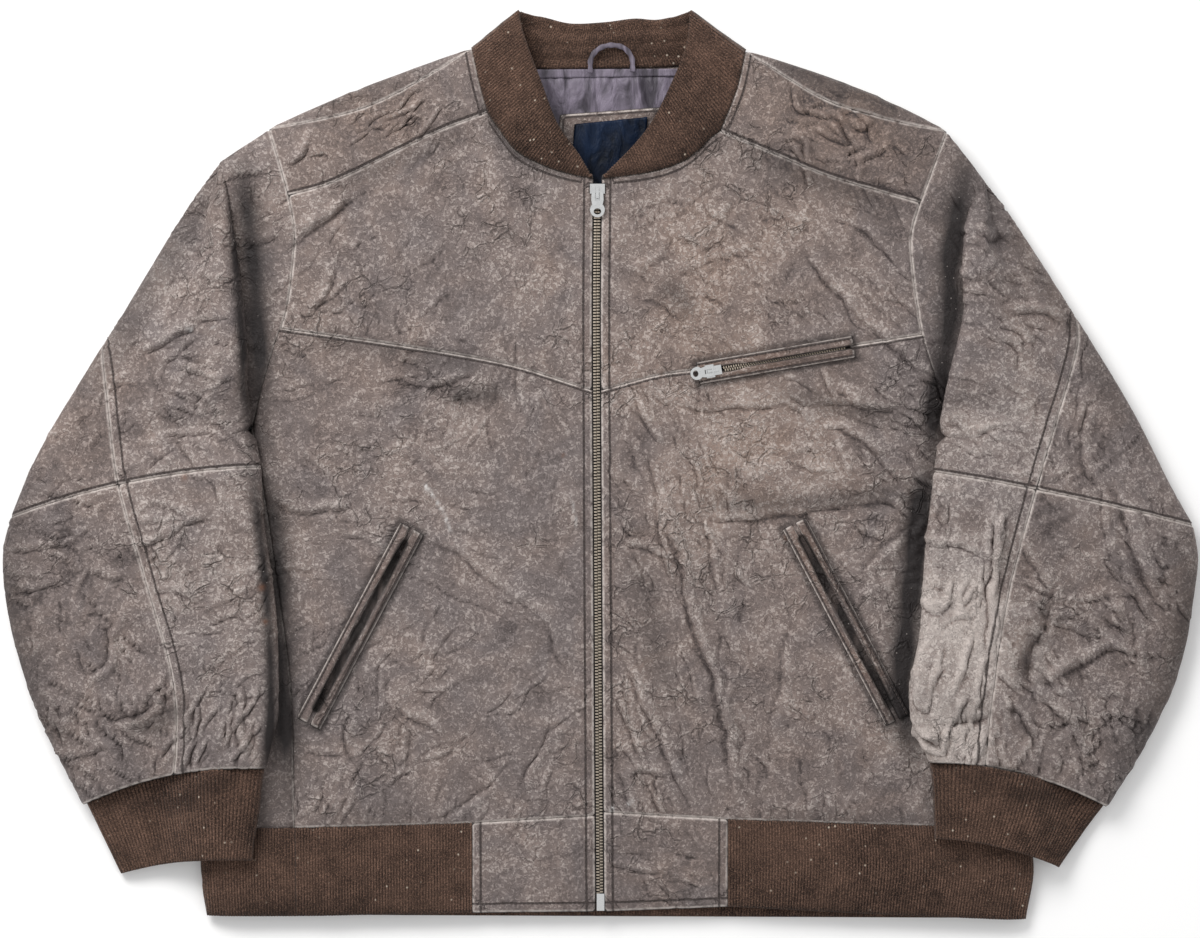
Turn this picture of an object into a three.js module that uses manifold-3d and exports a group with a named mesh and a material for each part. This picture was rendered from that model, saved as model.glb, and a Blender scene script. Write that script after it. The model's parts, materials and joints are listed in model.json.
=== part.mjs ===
// Worn leather bomber jacket lying flat, front up. Millimetres, +Z up, neck towards +Y.
// "L" pieces are on the -X side and "R" pieces on the +X side, as seen from above.
import * as THREE from 'three';
import Module from 'manifold-3d';

const wasm = await Module();
wasm.setup();

// Walls and seams
const LEATHER = 2.0;
const RIB = 2.6;
const COLLAR = 3.0;
const LINING = 1.0;
const TRIM = 0.22; // each side of a seam
const ROLLED_TRIM = 1.6; // where a seam lies on a rolled edge
const GAP = 0.4; // between layers that lie on each other

// Heights of the body, from hem to shoulder, as [y, height of the front's middle surface]
const FRONT_LEVEL = [[-374, 14], [-298, 20], [-200, 24], [0, 25], [200, 25], [376, 24]];
const SIDE_ROLL = 30;
const BACK_ROLL = 15;
const SHOULDER_ROLL = 28;
const BACK_LEVEL = LEATHER / 2;

// Sleeve heights over whatever they lie on
const FOLD_OVERHANG = 13;
const FOLD_HEIGHT = 17;
const SLEEVE_OUTER_ROLL = 30;
const SLEEVE_OUTER_TOP = 25;
const UNDER_WIDTH = 45;

// Main zip
const ZIP_LINE = [[-374, 0], [-234, -1], [-78, -2], [123, -3], [235, -2]];
const ZIP_HALF_SLOT = 3.8;
const CHAIN_WIDTH = 5.9;

// Outlines, as [x, y], or as [y, x] keys where a side runs up the body
const LEFT = {
  sign: -1,
  edge: [[-374, -323], [-326, -328], [-258, -324], [-127, -312], [-61, -305], [33, -285],
    [94, -268], [128, -257], [174, -251], [199, -251], [237, -260], [276, -272]],
  underarm: 33,
  chestJoin: 112,
  yokeJoin: 221,
  tip: 276,
  sideSeam: [[-374, -250], [-252, -251], [-184, -253], [-111, -262], [-29, -274], [33, -285]],
  shoulder: [[-272, 276], [-237, 292], [-189, 312], [-126, 335], [-105, 342]],
  shoulderSeam: [[-272, 276], [-232, 283], [-193, 293], [-150, 314], [-105, 342]],
  yokeSeam: [[-254, 221], [-222, 230], [-164, 258], [-131, 274], [-92, 289]],
  neckUpper: [[-92, 289], [-98, 310], [-102, 328], [-105, 342]],
  neckLower: [[-92, 289], [-81, 273], [-69, 258], [-51, 248], [-31, 241], [-6, 236]],
  backNeck: [[-105, 342], [-90, 336], [-56, 328], [5, 328]],
  chestSeam: [[-262, 112], [-164, 98], [-103, 88], [-66, 80], [-7, 61]],
  tabX: -105,
  hemY: { side: -298, tab: -294, zip: -288 },
  bottomY: { side: -371, tab: -368, zip: -367 },
  freeFront: [[-8, 236], [-16, 252], [-35, 280], [-48, 314], [-60, 346], [-65, 363]],
  freePeak: [-66, 373],
  freeBack: [[-66, 373], [-46, 369], [-25, 364], [4, 365]],
  notch: [-311, 250],
  cap: [-283, 270],
  outer: [[-311, 250], [-340, 209], [-390, 127], [-441, 45], [-464, 4], [-484, -43]],
  outerLow: [[-484, -43], [-490, -70], [-487, -119], [-463, -201], [-425, -279]],
  fold: [[-311, 250], [-303, 209], [-294, 148], [-289, 90], [-289, 60], [-278, -2]],
  foldLow: [[-278, -2], [-276, -40], [-265, -128], [-265, -205], [-274, -248]],
  sleeveSeam: [[-409, 96], [-405, 60], [-396, -16], [-374, -96], [-350, -180], [-346, -224], [-350, -282]],
  cuffEnd: [[-285, -324], [-396, -337]],
  bow: { elbow: 9, cuff: 10, end: 5 },
  pocket: { top: [-154, -52], bottom: [-239, -212] },
};
const RIGHT = {
  sign: 1,
  edge: [[-374, 350], [-326, 356], [-258, 343], [-193, 330], [-127, 320], [-61, 308], [33, 286],
    [80, 272], [108, 264], [165, 256], [193, 256], [237, 271], [274, 285]],
  underarm: 33,
  chestJoin: 107,
  yokeJoin: 215,
  tip: 274,
  sideSeam: [[-374, 336], [-326, 342], [-258, 329], [-193, 316], [-127, 307], [-61, 297], [33, 286]],
  shoulder: [[285, 274], [253, 291], [205, 312], [141, 334], [119, 340]],
  shoulderSeam: [[285, 274], [251, 280], [220, 288], [184, 300], [119, 340]],
  yokeSeam: [[262, 215], [220, 227], [184, 238], [148, 253], [98, 274]],
  neckUpper: [[98, 274], [105, 290], [113, 312], [119, 340]],
  neckLower: [[98, 274], [90, 268], [80, 258], [65, 248], [43, 241], [2, 236]],
  backNeck: [[119, 340], [104, 336], [66, 330], [5, 328]],
  chestSeam: [[263, 107], [207, 98], [80, 78], [50, 74], [2, 61]],
  tabX: 105,
  hemY: { side: -298, tab: -291, zip: -285 },
  bottomY: { side: -374, tab: -363, zip: -367 },
  freeFront: [[4, 236], [11, 244], [39, 276], [59, 314], [71, 346], [73, 360]],
  freePeak: [74, 373],
  freeBack: [[74, 373], [47, 367], [29, 368], [4, 365]],
  notch: [316, 233],
  cap: [299, 262],
  outer: [[316, 233], [334, 209], [387, 127], [437, 45], [468, -16], [487, -50]],
  outerLow: [[487, -50], [491, -75], [477, -165], [453, -221], [417, -281]],
  fold: [[316, 233], [303, 208], [297, 165], [298, 126], [285, 68], [274, -6]],
  foldLow: [[274, -6], [267, -67], [262, -139], [254, -200], [270, -243]],
  sleeveSeam: [[391, 128], [392, 100], [376, 42], [357, -20], [332, -116], [321, -193], [312, -275]],
  cuffEnd: [[275, -306], [378, -331]],
  bow: { elbow: 3, cuff: 10, end: 6 },
  pocket: { top: [159, -48], bottom: [244, -209] },
};
// Largest folds of the leather: [x0, y0, x1, y1, half width, height]
const FOLDS = [
  [54, -22, 92, -175, 15, 3.2], [92, -175, 116, -278, 13, 3.0], [40, -160, 84, -262, 12, -2.0],
  [166, 190, 272, 78, 13, 2.6], [-147, -45, -32, -145, 20, 2.0], [-171, -180, -126, -230, 12, 2.2],
  [190, 75, 245, 40, 12, -2.0], [70, -30, 270, -22, 12, -1.8], [-253, 199, -200, 232, 11, 2.4],
  [-375, 100, -318, 132, 13, 3.0], [-365, 45, -300, 20, 14, 2.6], [-398, -110, -415, -170, 13, 3.0],
  [-352, -180, -410, -212, 12, 3.2], [428, -5, 460, -105, 13, 3.4], [358, -100, 392, -235, 12, 3.4],
  [322, -15, 325, -135, 12, 2.6], [352, -150, 436, -130, 11, -2.4], [277, -198, 322, -196, 11, -2.6],
];

// Chest pocket and its zip
const CHEST_POCKET = { start: [80, 75], end: [208, 97], height: 18.5, slot: 5.4 };
const CHEST_CHAIN_WIDTH = 4.4;
const HAND_POCKET = { width: 22, slot: 2.4 };
const WELT = 1.2;

// ---------------------------------------------------------------- helpers

const V = (x, y, z = 0) => new THREE.Vector3(x, y, z);
const clamp01 = (t) => Math.min(1, Math.max(0, t));
const ease = (t) => clamp01(t) ** 2 * (3 - 2 * clamp01(t));
const mix = (a, b, t) => a + (b - a) * t;
const roll = (q) => Math.sqrt(1 - (1 - clamp01(q)) ** 2);

// Value of a smooth line through [key, value] pairs, keys rising
function keyed(keys, t) {
  const last = keys.length - 1;
  if (t <= keys[0][0]) return keys[0][1];
  if (t >= keys[last][0]) return keys[last][1];
  let i = 0;
  while (keys[i + 1][0] < t) i += 1;
  const slope = (k) => {
    const a = keys[Math.max(0, k - 1)];
    const b = keys[Math.min(last, k + 1)];
    return (b[1] - a[1]) / (b[0] - a[0]);
  };
  const span = keys[i + 1][0] - keys[i][0];
  const s = (t - keys[i][0]) / span;
  const h = s * s * (3 - 2 * s);
  const rise = (s ** 3 - 2 * s * s + s) * span * slope(i) + (s ** 3 - s * s) * span * slope(i + 1);
  return mix(keys[i][1], keys[i + 1][1], h) + rise;
}

// Evenly spaced plan points along a smooth curve through the given points
function along(points, segments) {
  const curve = new THREE.CatmullRomCurve3(points.map(([x, y]) => V(x, y)), false, 'centripetal');
  return curve.getSpacedPoints(segments);
}

// A grid between four lists of plan points (bottom and top left to right, sides bottom to top)
function coons(bottom, top, left, right) {
  const n = bottom.length - 1;
  const m = left.length - 1;
  return left.map((_, j) => bottom.map((__, i) => {
    const u = i / n;
    const v = j / m;
    const p = V(0, 0);
    p.addScaledVector(bottom[i], 1 - v).addScaledVector(top[i], v);
    p.addScaledVector(left[j], 1 - u).addScaledVector(right[j], u);
    p.addScaledVector(bottom[0], -(1 - u) * (1 - v)).addScaledVector(bottom[n], -u * (1 - v));
    p.addScaledVector(top[0], -(1 - u) * v).addScaledVector(top[n], -u * v);
    return p;
  }));
}

// Draws a grid's border in from each seam, by the given amounts
function trimmed(grid, { bottom = TRIM, top = TRIM, left = TRIM, right = TRIM } = {}) {
  const out = grid.map((row) => row.map((p) => p.clone()));
  const last = grid.length - 1;
  const end = grid[0].length - 1;
  const pull = (j, i, towards, by) => {
    const step = towards.clone().sub(grid[j][i]);
    if (step.length() > by) out[j][i].addScaledVector(step.normalize(), by);
  };
  for (let i = 0; i <= end; i += 1) {
    pull(0, i, grid[1][i], bottom);
    pull(last, i, grid[last - 1][i], top);
  }
  for (let j = 0; j <= last; j += 1) {
    let start = 0;
    while (start < end && grid[j][start].distanceTo(grid[j][0]) < 0.01) start += 1;
    for (let i = 0; i < start; i += 1) pull(j, i, grid[j][start], left);
    pull(j, end, grid[j][end - 1], right);
  }
  return out;
}

// One closed wall of the given thickness round the surface that the grids make together
function wall(grids, thickness) {
  const points = [];
  const index = new Map();
  const id = (p) => {
    const key = [p.x, p.y, p.z].map((c) => Math.round(c * 2000)).join();
    if (!index.has(key)) {
      index.set(key, points.length);
      points.push(p);
    }
    return index.get(key);
  };
  const faces = [];
  const face = (a, b, c) => {
    if (a !== b && b !== c && c !== a) faces.push([a, b, c]);
  };
  for (const grid of grids) {
    for (let j = 0; j + 1 < grid.length; j += 1) {
      for (let i = 0; i + 1 < grid[j].length; i += 1) {
        const [a, b] = [id(grid[j][i]), id(grid[j][i + 1])];
        const [d, c] = [id(grid[j + 1][i]), id(grid[j + 1][i + 1])];
        face(a, b, c);
        face(a, c, d);
      }
    }
  }
  const normals = points.map(() => V(0, 0, 0));
  const edges = new Map();
  for (const [a, b, c] of faces) {
    const normal = points[b].clone().sub(points[a]).cross(points[c].clone().sub(points[a]));
    [a, b, c].forEach((k) => normals[k].add(normal));
    for (const [p, q] of [[a, b], [b, c], [c, a]]) edges.set(`${p},${q}`, [p, q]);
  }
  const count = points.length;
  normals.forEach((normal) => normal.normalize());
  const place = [1, -1].flatMap((side) => points.map(
    (p, k) => p.clone().addScaledVector(normals[k], side * thickness / 2)));
  const solid = faces.flatMap(([a, b, c]) => [[a, b, c], [a + count, c + count, b + count]]);
  for (const [p, q] of edges.values()) {
    if (edges.has(`${q},${p}`)) continue;
    solid.push([q, p, p + count], [q, p + count, q + count]);
  }
  return facesOut(place, solid);
}

// A geometry from points and triangles, turned so that its faces point out
function facesOut(points, triangles) {
  let volume = 0;
  for (const [a, b, c] of triangles) volume += points[a].dot(points[b].clone().cross(points[c]));
  const geometry = new THREE.BufferGeometry();
  geometry.setAttribute('position', new THREE.Float32BufferAttribute(points.flatMap((p) => p.toArray()), 3));
  geometry.setIndex(triangles.flatMap(([a, b, c]) => (volume > 0 ? [a, b, c] : [a, c, b])));
  return geometry;
}

function toManifold(geometry) {
  const triVerts = new Uint32Array(geometry.index.array);
  const vertProperties = new Float32Array(geometry.attributes.position.array);
  const mesh = new wasm.Mesh({ numProp: 3, vertProperties, triVerts });
  mesh.merge();
  return new wasm.Manifold(mesh);
}

function fromManifold(solid) {
  const mesh = solid.getMesh();
  const geometry = new THREE.BufferGeometry();
  geometry.setAttribute('position', new THREE.Float32BufferAttribute(mesh.vertProperties, 3));
  geometry.setIndex([...mesh.triVerts]);
  return geometry;
}

const lifted = (grid, height) => grid.map((row) => row.map((p) => V(p.x, p.y, height(p.x, p.y))));

// ---------------------------------------------------------------- the body's form

const side = (x) => (x < 0 ? LEFT : RIGHT);
const edgeX = (s, y) => keyed(s.edge, y);
const zipX = (y) => keyed(ZIP_LINE, y);
const SILHOUETTE_TOP = [LEFT.notch, LEFT.cap, ...LEFT.shoulder, LEFT.freePeak, RIGHT.freePeak,
  ...[...RIGHT.shoulder].reverse(), RIGHT.cap, RIGHT.notch];

function foldLift(x, y) {
  let lift = 0;
  for (const [x0, y0, x1, y1, width, height] of FOLDS) {
    const [dx, dy] = [x1 - x0, y1 - y0];
    const length = Math.hypot(dx, dy);
    const t = ((x - x0) * dx + (y - y0) * dy) / length ** 2;
    const off = ((x - x0) * dy - (y - y0) * dx) / length;
    const ends = ease((t + 0.15) / 0.35) * ease((1.15 - t) / 0.35);
    lift += height * Math.exp(-((off / width) ** 2)) * ends;
  }
  return lift;
}

// Height of the middle of the front's leather
function frontZ(x, y) {
  const s = side(x);
  const level = keyed(FRONT_LEVEL, y);
  const inside = (edgeX(s, y) - x) * s.sign;
  const flank = mix(roll(inside / SIDE_ROLL), 1, ease((y - s.underarm) / 45));
  const top = roll((keyed(SILHOUETTE_TOP, x) - y) / SHOULDER_ROLL);
  return level / 2 + (level / 2 + foldLift(x, y)) * flank * top;
}

// Height of the middle of the back's leather at a distance in from the outline
function backZ(inside, y, radius) {
  const half = keyed(FRONT_LEVEL, y) / 2;
  return half - (half - BACK_LEVEL) * roll(inside / Math.max(radius, 0.01));
}

// Armhole from the underarm up, as plan points: 3 steps below the chest seam, 4 to the yoke, 3 to the tip
function armhole(s) {
  const steps = [[s.underarm, s.chestJoin, 3], [s.chestJoin, s.yokeJoin, 4], [s.yokeJoin, s.tip, 3]];
  const heights = [s.underarm];
  for (const [from, to, n] of steps) {
    for (let k = 1; k <= n; k += 1) heights.push(mix(from, to, k / n));
  }
  return heights.map((y) => V(edgeX(s, y), y));
}

const ARMHOLE_ROWS = 10;
const SIDE_ROWS = 8;
const YOKE_COLUMNS = 4;
const NECK_COLUMNS = 5;
const TAB_COLUMNS = 4;
const RIB_COLUMNS = 5;
const FRONT_COLUMNS = YOKE_COLUMNS + NECK_COLUMNS;

const zipEdge = (s, from, to, n) => Array.from({ length: n + 1 }, (_, k) => {
  const y = mix(from, to, k / n);
  return V(zipX(y) + s.sign * ZIP_HALF_SLOT, y);
});
const sideSeam = (s) => Array.from({ length: SIDE_ROWS + 1 }, (_, k) => {
  const y = mix(s.hemY.side, s.underarm, k / SIDE_ROWS);
  return V(keyed(s.sideSeam, y), y);
});

function hemLine(s, heights) {
  const zip = [zipX(heights.zip) + s.sign * ZIP_HALF_SLOT, heights.zip];
  const outer = [keyed(s.sideSeam, heights.side), heights.side];
  const tab = [s.tabX, heights.tab];
  return [...along([outer, [mix(outer[0], tab[0], 0.5), mix(outer[1], tab[1], 0.45)], tab], RIB_COLUMNS),
    ...along([tab, zip], TAB_COLUMNS).slice(1)];
}

// The grids run from the side to the zip, so a right panel's faces are turned by wall() itself
function frontPanels(s) {
  const arm = armhole(s);
  const neck = along([...s.neckLower.slice(0, -1), [zipX(236) + s.sign * ZIP_HALF_SLOT, 236]], NECK_COLUMNS);
  const neckUpper = along(s.neckUpper, 3);
  const yoke = along(s.yokeSeam, YOKE_COLUMNS);
  const zipJoin = 61;
  const chest = along([...s.chestSeam.slice(0, -1), [zipX(zipJoin) + s.sign * ZIP_HALF_SLOT, zipJoin]],
    FRONT_COLUMNS);
  const lowerSide = [...sideSeam(s), ...arm.slice(1, 4)];
  lowerSide[SIDE_ROWS].x -= s.sign * 3;
  return {
    yoke: coons(yoke, along(s.shoulderSeam, YOKE_COLUMNS), arm.slice(7), neckUpper),
    chest: coons(chest, [...yoke, ...neck.slice(1)], arm.slice(3, 8), zipEdge(s, zipJoin, 236, 4)),
    lower: coons(hemLine(s, s.hemY), chest, lowerSide, zipEdge(s, s.hemY.zip, zipJoin, SIDE_ROWS + 3)),
  };
}

function pocketSlot(s) {
  const { top, bottom } = s.pocket;
  const [dx, dy] = [top[0] - bottom[0], top[1] - bottom[1]];
  const length = Math.hypot(dx, dy) - 22;
  const box = new THREE.BoxGeometry(HAND_POCKET.slot, length, 60);
  box.deleteAttribute('normal');
  box.deleteAttribute('uv');
  box.rotateZ(Math.atan2(dy, dx) - Math.PI / 2);
  box.translate((top[0] + bottom[0]) / 2, (top[1] + bottom[1]) / 2, 25);
  return toManifold(box);
}

function frontLower(s, grid) {
  const leather = wall([trimmed(lifted(grid, frontZ))], LEATHER);
  return fromManifold(toManifold(leather).subtract(pocketSlot(s)));
}

function hemTab(s) {
  const from = s.hemY;
  const to = s.bottomY;
  const top = along([[s.tabX, from.tab], [zipX(from.zip) + s.sign * ZIP_HALF_SLOT, from.zip]], TAB_COLUMNS);
  const low = along([[s.tabX, to.tab], [zipX(to.zip) + s.sign * ZIP_HALF_SLOT, to.zip]], TAB_COLUMNS);
  return wall([trimmed(lifted(coons(low, top, along([[s.tabX, to.tab], [s.tabX, from.tab]], 3),
    zipEdge(s, to.zip, from.zip, 3)), frontZ))], LEATHER);
}

function hemRibFront(s) {
  const top = hemLine(s, s.hemY).slice(0, RIB_COLUMNS + 1);
  const low = hemLine(s, s.bottomY).slice(0, RIB_COLUMNS + 1);
  const outer = Array.from({ length: 4 }, (_, k) => {
    const y = mix(s.bottomY.side, s.hemY.side, k / 3);
    return V(keyed(s.sideSeam, y), y);
  });
  const grid = coons(low, top, outer, along([[s.tabX, s.bottomY.tab], [s.tabX, s.hemY.tab]], 3));
  return wall([trimmed(lifted(grid, frontZ))], RIB);
}

// One turn of the back's cloth at a height y: side seam on top, round the side, to where it lies flat
function flankRow(s, y) {
  const outer = edgeX(s, y);
  const depth = (outer - keyed(s.sideSeam, y)) * s.sign;
  const radius = BACK_ROLL * ease((s.underarm - y) / 50);
  const over = [0, 1, 2, 3].map((k) => {
    const inside = depth * (1 - Math.sin((k * Math.PI) / 8));
    const x = outer - s.sign * inside;
    return V(x, y, frontZ(x, y));
  });
  const under = [0, 0.3, 1].map((q) => V(outer - s.sign * radius * q, y, backZ(radius * q, y, radius)));
  return [...over, ...under];
}

const BACK_COLUMNS = 13;

function hoopRow(yLeft, yRight) {
  const left = flankRow(LEFT, yLeft);
  const right = flankRow(RIGHT, yRight).reverse();
  const flat = [];
  for (let k = 1; k < BACK_COLUMNS; k += 1) {
    const t = k / BACK_COLUMNS;
    const p = left[left.length - 1].clone().lerp(right[0], t);
    flat.push(V(p.x, p.y, BACK_LEVEL));
  }
  return [...left, ...flat, ...right];
}

function insetShoulder(s) {
  return along(s.shoulder, YOKE_COLUMNS).map((p, k) => {
    const inset = k === 0 || k === YOKE_COLUMNS ? 0 : BACK_ROLL;
    return V(p.x, p.y - inset, inset ? BACK_LEVEL : keyed(FRONT_LEVEL, p.y) / 2);
  });
}

function shoulderRoll(s) {
  const seam = along(s.shoulderSeam, YOKE_COLUMNS);
  const outline = along(s.shoulder, YOKE_COLUMNS);
  const inset = insetShoulder(s);
  const middle = (k) => keyed(FRONT_LEVEL, outline[k].y) / 2;
  const between = (a, b, t, z) => V(mix(a.x, b.x, t), mix(a.y, b.y, t), z);
  return [
    inset,
    outline.map((p, k) => between(inset[k], p, 0.7, mix(inset[k].z, middle(k), 0.35))),
    outline.map((p, k) => V(p.x, p.y, middle(k))),
    outline.map((p, k) => {
      const q = between(p, seam[k], 0.35, 0);
      return V(q.x, q.y, frontZ(q.x, q.y));
    }),
    seam.map((p) => V(p.x, p.y, frontZ(p.x, p.y))),
  ];
}

function backArmhole(s) {
  return armhole(s).map((p) => {
    const end = roll((p.y - s.underarm) / 18) * roll((s.tip - p.y) / 18);
    const half = keyed(FRONT_LEVEL, p.y) / 2;
    return V(p.x, p.y, mix(half, BACK_LEVEL, end));
  });
}

const BACK_NECK_COLUMNS = 5;

function backNeckLine() {
  const points = [...LEFT.backNeck, ...[...RIGHT.backNeck].reverse().slice(1)];
  return along(points, BACK_NECK_COLUMNS).map((p, k) => {
    const end = k === 0 || k === BACK_NECK_COLUMNS;
    return V(p.x, p.y, end ? keyed(FRONT_LEVEL, p.y) / 2 : BACK_LEVEL);
  });
}

// Corners where the back's edges run together to a point, as [x from, to, y from, to]; the point is left off
const BACK_CORNERS = [
  [-294, -278, 12, 38], [279, 296, 13, 38], [-124, -102, 331, 345], [116, 138, 328, 344], [267, 290, 270, 281],
];
const CORNER_HEIGHTS = [8, 20];
const SHORTEST_EDGE = 0.08;

function withoutCorners(leather) {
  const cut = BACK_CORNERS.reduce(
    (solid, [x0, x1, y0, y1]) => solid.subtract(block(x0, x1, y0, y1, ...CORNER_HEIGHTS)), toManifold(leather));
  return cut.decompose().sort((a, b) => b.volume() - a.volume())[0].simplify(SHORTEST_EDGE);
}

function backPanel() {
  const hoops = [];
  for (let k = 0; k <= SIDE_ROWS; k += 1) {
    const t = k / SIDE_ROWS;
    hoops.push(hoopRow(mix(LEFT.hemY.side, LEFT.underarm, t), mix(RIGHT.hemY.side, RIGHT.underarm, t)));
  }
  const flank = flankRow(LEFT, LEFT.underarm).length;
  const base = hoops[SIDE_ROWS].slice(flank - 1, flank + BACK_COLUMNS);
  const top = [...insetShoulder(LEFT), ...backNeckLine().slice(1, -1), ...insetShoulder(RIGHT).reverse()];
  const upper = coons(base, top, backArmhole(LEFT), backArmhole(RIGHT));
  for (let j = 1; j < upper.length - 1; j += 1) {
    for (let i = 1; i < BACK_COLUMNS + 1; i += 1) {
      if (i < upper[j].length - 1) upper[j][i].z = BACK_LEVEL;
    }
  }
  const lower = trimmed(hoops, { top: 0 });
  lower[SIDE_ROWS] = hoops[SIDE_ROWS];
  const drawn = trimmed(upper, { bottom: 0, top: 0, left: 0.5, right: 0.5 });
  drawn[0] = upper[0];
  drawn[ARMHOLE_ROWS] = upper[ARMHOLE_ROWS];
  const rolls = [shoulderRoll(LEFT), shoulderRoll(RIGHT).map((row) => row.reverse())].map(
    (grid) => trimmed(grid, { bottom: 0, top: ROLLED_TRIM, left: 0, right: 0 }));
  return fromManifold(withoutCorners(wall([lower, drawn, ...rolls], LEATHER)));
}

function hemRibBack() {
  const rows = [];
  for (let k = 0; k <= 3; k += 1) {
    const t = k / 3;
    rows.push(hoopRow(mix(LEFT.bottomY.side, LEFT.hemY.side, t), mix(RIGHT.bottomY.side, RIGHT.hemY.side, t)));
  }
  const raise = (RIB - LEATHER) / 2;
  const grid = rows.map((row) => row.map((p) => V(p.x, p.y, p.z + (p.z < BACK_LEVEL + 0.01 ? raise : 0))));
  return wall([trimmed(grid)], RIB);
}

// ---------------------------------------------------------------- the sleeves

const SLEEVE_ROWS = ARMHOLE_ROWS + 2;
const LOWER_ROWS = 8;

// Height of the middle of the sleeve's under leather, which climbs onto the body's side
function underZ(s, x, y) {
  const outside = (x - edgeX(s, y)) * s.sign;
  const onBody = keyed(FRONT_LEVEL, y) + Math.max(0, foldLift(x, y)) + LEATHER + 0.8;
  const reach = 1 - ease((outside + 15) / 60);
  const below = 1 - ease((y - s.underarm + 16) / 34);
  return mix(BACK_LEVEL, onBody, reach * below);
}

// Where the lengthwise seam crosses a row, as a fraction from the fold to the outline
function seamFraction(s, inner, outer) {
  const line = along(s.sleeveSeam, 40);
  const run = outer.clone().sub(inner);
  const cross = (p) => run.x * (p.y - inner.y) - run.y * (p.x - inner.x);
  for (let k = 0; k < 40; k += 1) {
    const [a, b] = [cross(line[k]), cross(line[k + 1])];
    if (a * b > 0 || a === b) continue;
    const hit = line[k].clone().lerp(line[k + 1], a / (a - b));
    return hit.sub(inner).dot(run) / run.lengthSq();
  }
  return null;
}

function rowFrame(s, inner, outer, start, end, valley, bow) {
  const width = inner.distanceTo(outer);
  const full = ease(width / 90);
  const direction = width > 0.01 ? outer.clone().sub(inner).divideScalar(width) : V(s.sign, 0);
  const overhang = Math.min(FOLD_OVERHANG, width / 3);
  const radius = Math.min(SLEEVE_OUTER_ROLL, width / 2.2);
  const split = width < 1 ? LEATHER * 0.7 : 0;
  return { s, inner, outer, start, end, valley, width, full, direction, overhang, radius, bow, split };
}

// A plan point of a row, which bows towards the shoulder between its two ends
function across(row, w) {
  const q = row.width > 0.01 ? clamp01(w / row.width) : 0;
  const p = row.inner.clone().addScaledVector(row.direction, w);
  return p.add(V(0, 4 * row.bow * q * (1 - q)));
}

// A point of a sleeve's ring. The place c runs from -3 at the armhole, by the valley at -2, the fold's
// underside at -1, the fold at -0.5, the top from 0 to 1, the outer edge at 1.5, to 4 at the under seam.
function ringPoint(row, c) {
  const p = ringPlace(row, c);
  p.z += c < 2 ? row.split : -row.split;
  return p;
}

function ringPlace(row, c) {
  const { s, width, overhang, radius, full } = row;
  const middle = keyed(FRONT_LEVEL, row.outer.y) / 2;
  const base = across(row, overhang);
  const onFront = Math.max(frontZ(base.x, base.y), frontZ(row.inner.x, row.inner.y));
  const valleyZ = row.valley ? onFront - 1.5 * full : underZ(s, base.x, base.y);
  const foldLow = valleyZ + (row.valley ? 3.6 * full : 0);
  const foldTop = foldLow + FOLD_HEIGHT * full;
  const outerTop = mix(middle, SLEEVE_OUTER_TOP, full);
  const outerLow = mix(middle, BACK_LEVEL, full);
  if (!row.valley && c <= -1) return row.start.clone();
  if (c <= -2) {
    const turn = across(row, overhang + 3 * full);
    const p = row.start.clone().lerp(V(turn.x, turn.y, valleyZ), c + 3);
    if (row.valley && c > -3 && c < -2) p.z = frontZ(p.x, p.y);
    return p;
  }
  if (c < -1) {
    const p = across(row, overhang + (c < -1.4 ? 4.6 : 3) * full);
    return V(p.x, p.y, mix(valleyZ, foldLow, c < -1.4 ? 0.5 : 0.95));
  }
  if (c < 0) {
    const turn = Math.PI * (c + 1);
    const p = across(row, overhang * (1 - Math.sin(turn)));
    return V(p.x, p.y, mix(foldLow, foldTop, (1 - Math.cos(turn)) / 2));
  }
  if (c <= 1) {
    const p = across(row, mix(overhang, width - radius, c));
    return V(p.x, p.y, mix(foldTop, outerTop, ease(c)) + foldLift(p.x, p.y) * full);
  }
  if (c <= 2) {
    const turn = Math.PI * (c - 1);
    const p = across(row, width - radius * (1 - Math.sin(turn)));
    return V(p.x, p.y, (outerTop + outerLow) / 2 + ((outerTop - outerLow) / 2) * Math.cos(turn));
  }
  const seam = across(row, Math.max(overhang, width - radius - UNDER_WIDTH));
  if (c <= 3) {
    const p = across(row, width - radius).lerp(seam, c - 2);
    return V(p.x, p.y, mix(middle, underZ(s, p.x, p.y), full));
  }
  const p = seam.lerp(V(row.end.x, row.end.y), c - 3);
  if (c === 4) return row.end.clone();
  return V(p.x, p.y, mix(middle, underZ(s, p.x, p.y), full));
}

// Rows from the notch at the shoulder down to the elbow seam
function upperRows(s) {
  const inner = along(s.fold, SLEEVE_ROWS);
  const outer = along(s.outer, SLEEVE_ROWS);
  const arm = armhole(s).reverse();
  const back = backArmhole(s).reverse();
  return inner.map((p, k) => {
    const valley = k <= ARMHOLE_ROWS;
    const bow = s.bow.elbow * (k / SLEEVE_ROWS) ** 2;
    if (!valley) return lowerFrame(s, p, outer[k], bow);
    const start = V(arm[k].x, arm[k].y, frontZ(arm[k].x, arm[k].y));
    const end = back[k].clone();
    if (k === ARMHOLE_ROWS) {
      start.z += 1.4;
      end.z -= 1.4;
    }
    return rowFrame(s, p, outer[k], start, end, true, bow);
  });
}

function lowerFrame(s, inner, outer, bow) {
  const row = rowFrame(s, inner, outer, null, null, false, bow);
  const p = across(row, row.overhang);
  row.start = V(p.x, p.y, underZ(s, p.x, p.y));
  row.end = row.start.clone();
  return row;
}

function lowerRows(s) {
  const outer = along(s.outerLow, LOWER_ROWS);
  return along(s.foldLow, LOWER_ROWS).map((p, k) => (
    lowerFrame(s, p, outer[k], mix(s.bow.elbow, s.bow.cuff, k / LOWER_ROWS))));
}

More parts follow.
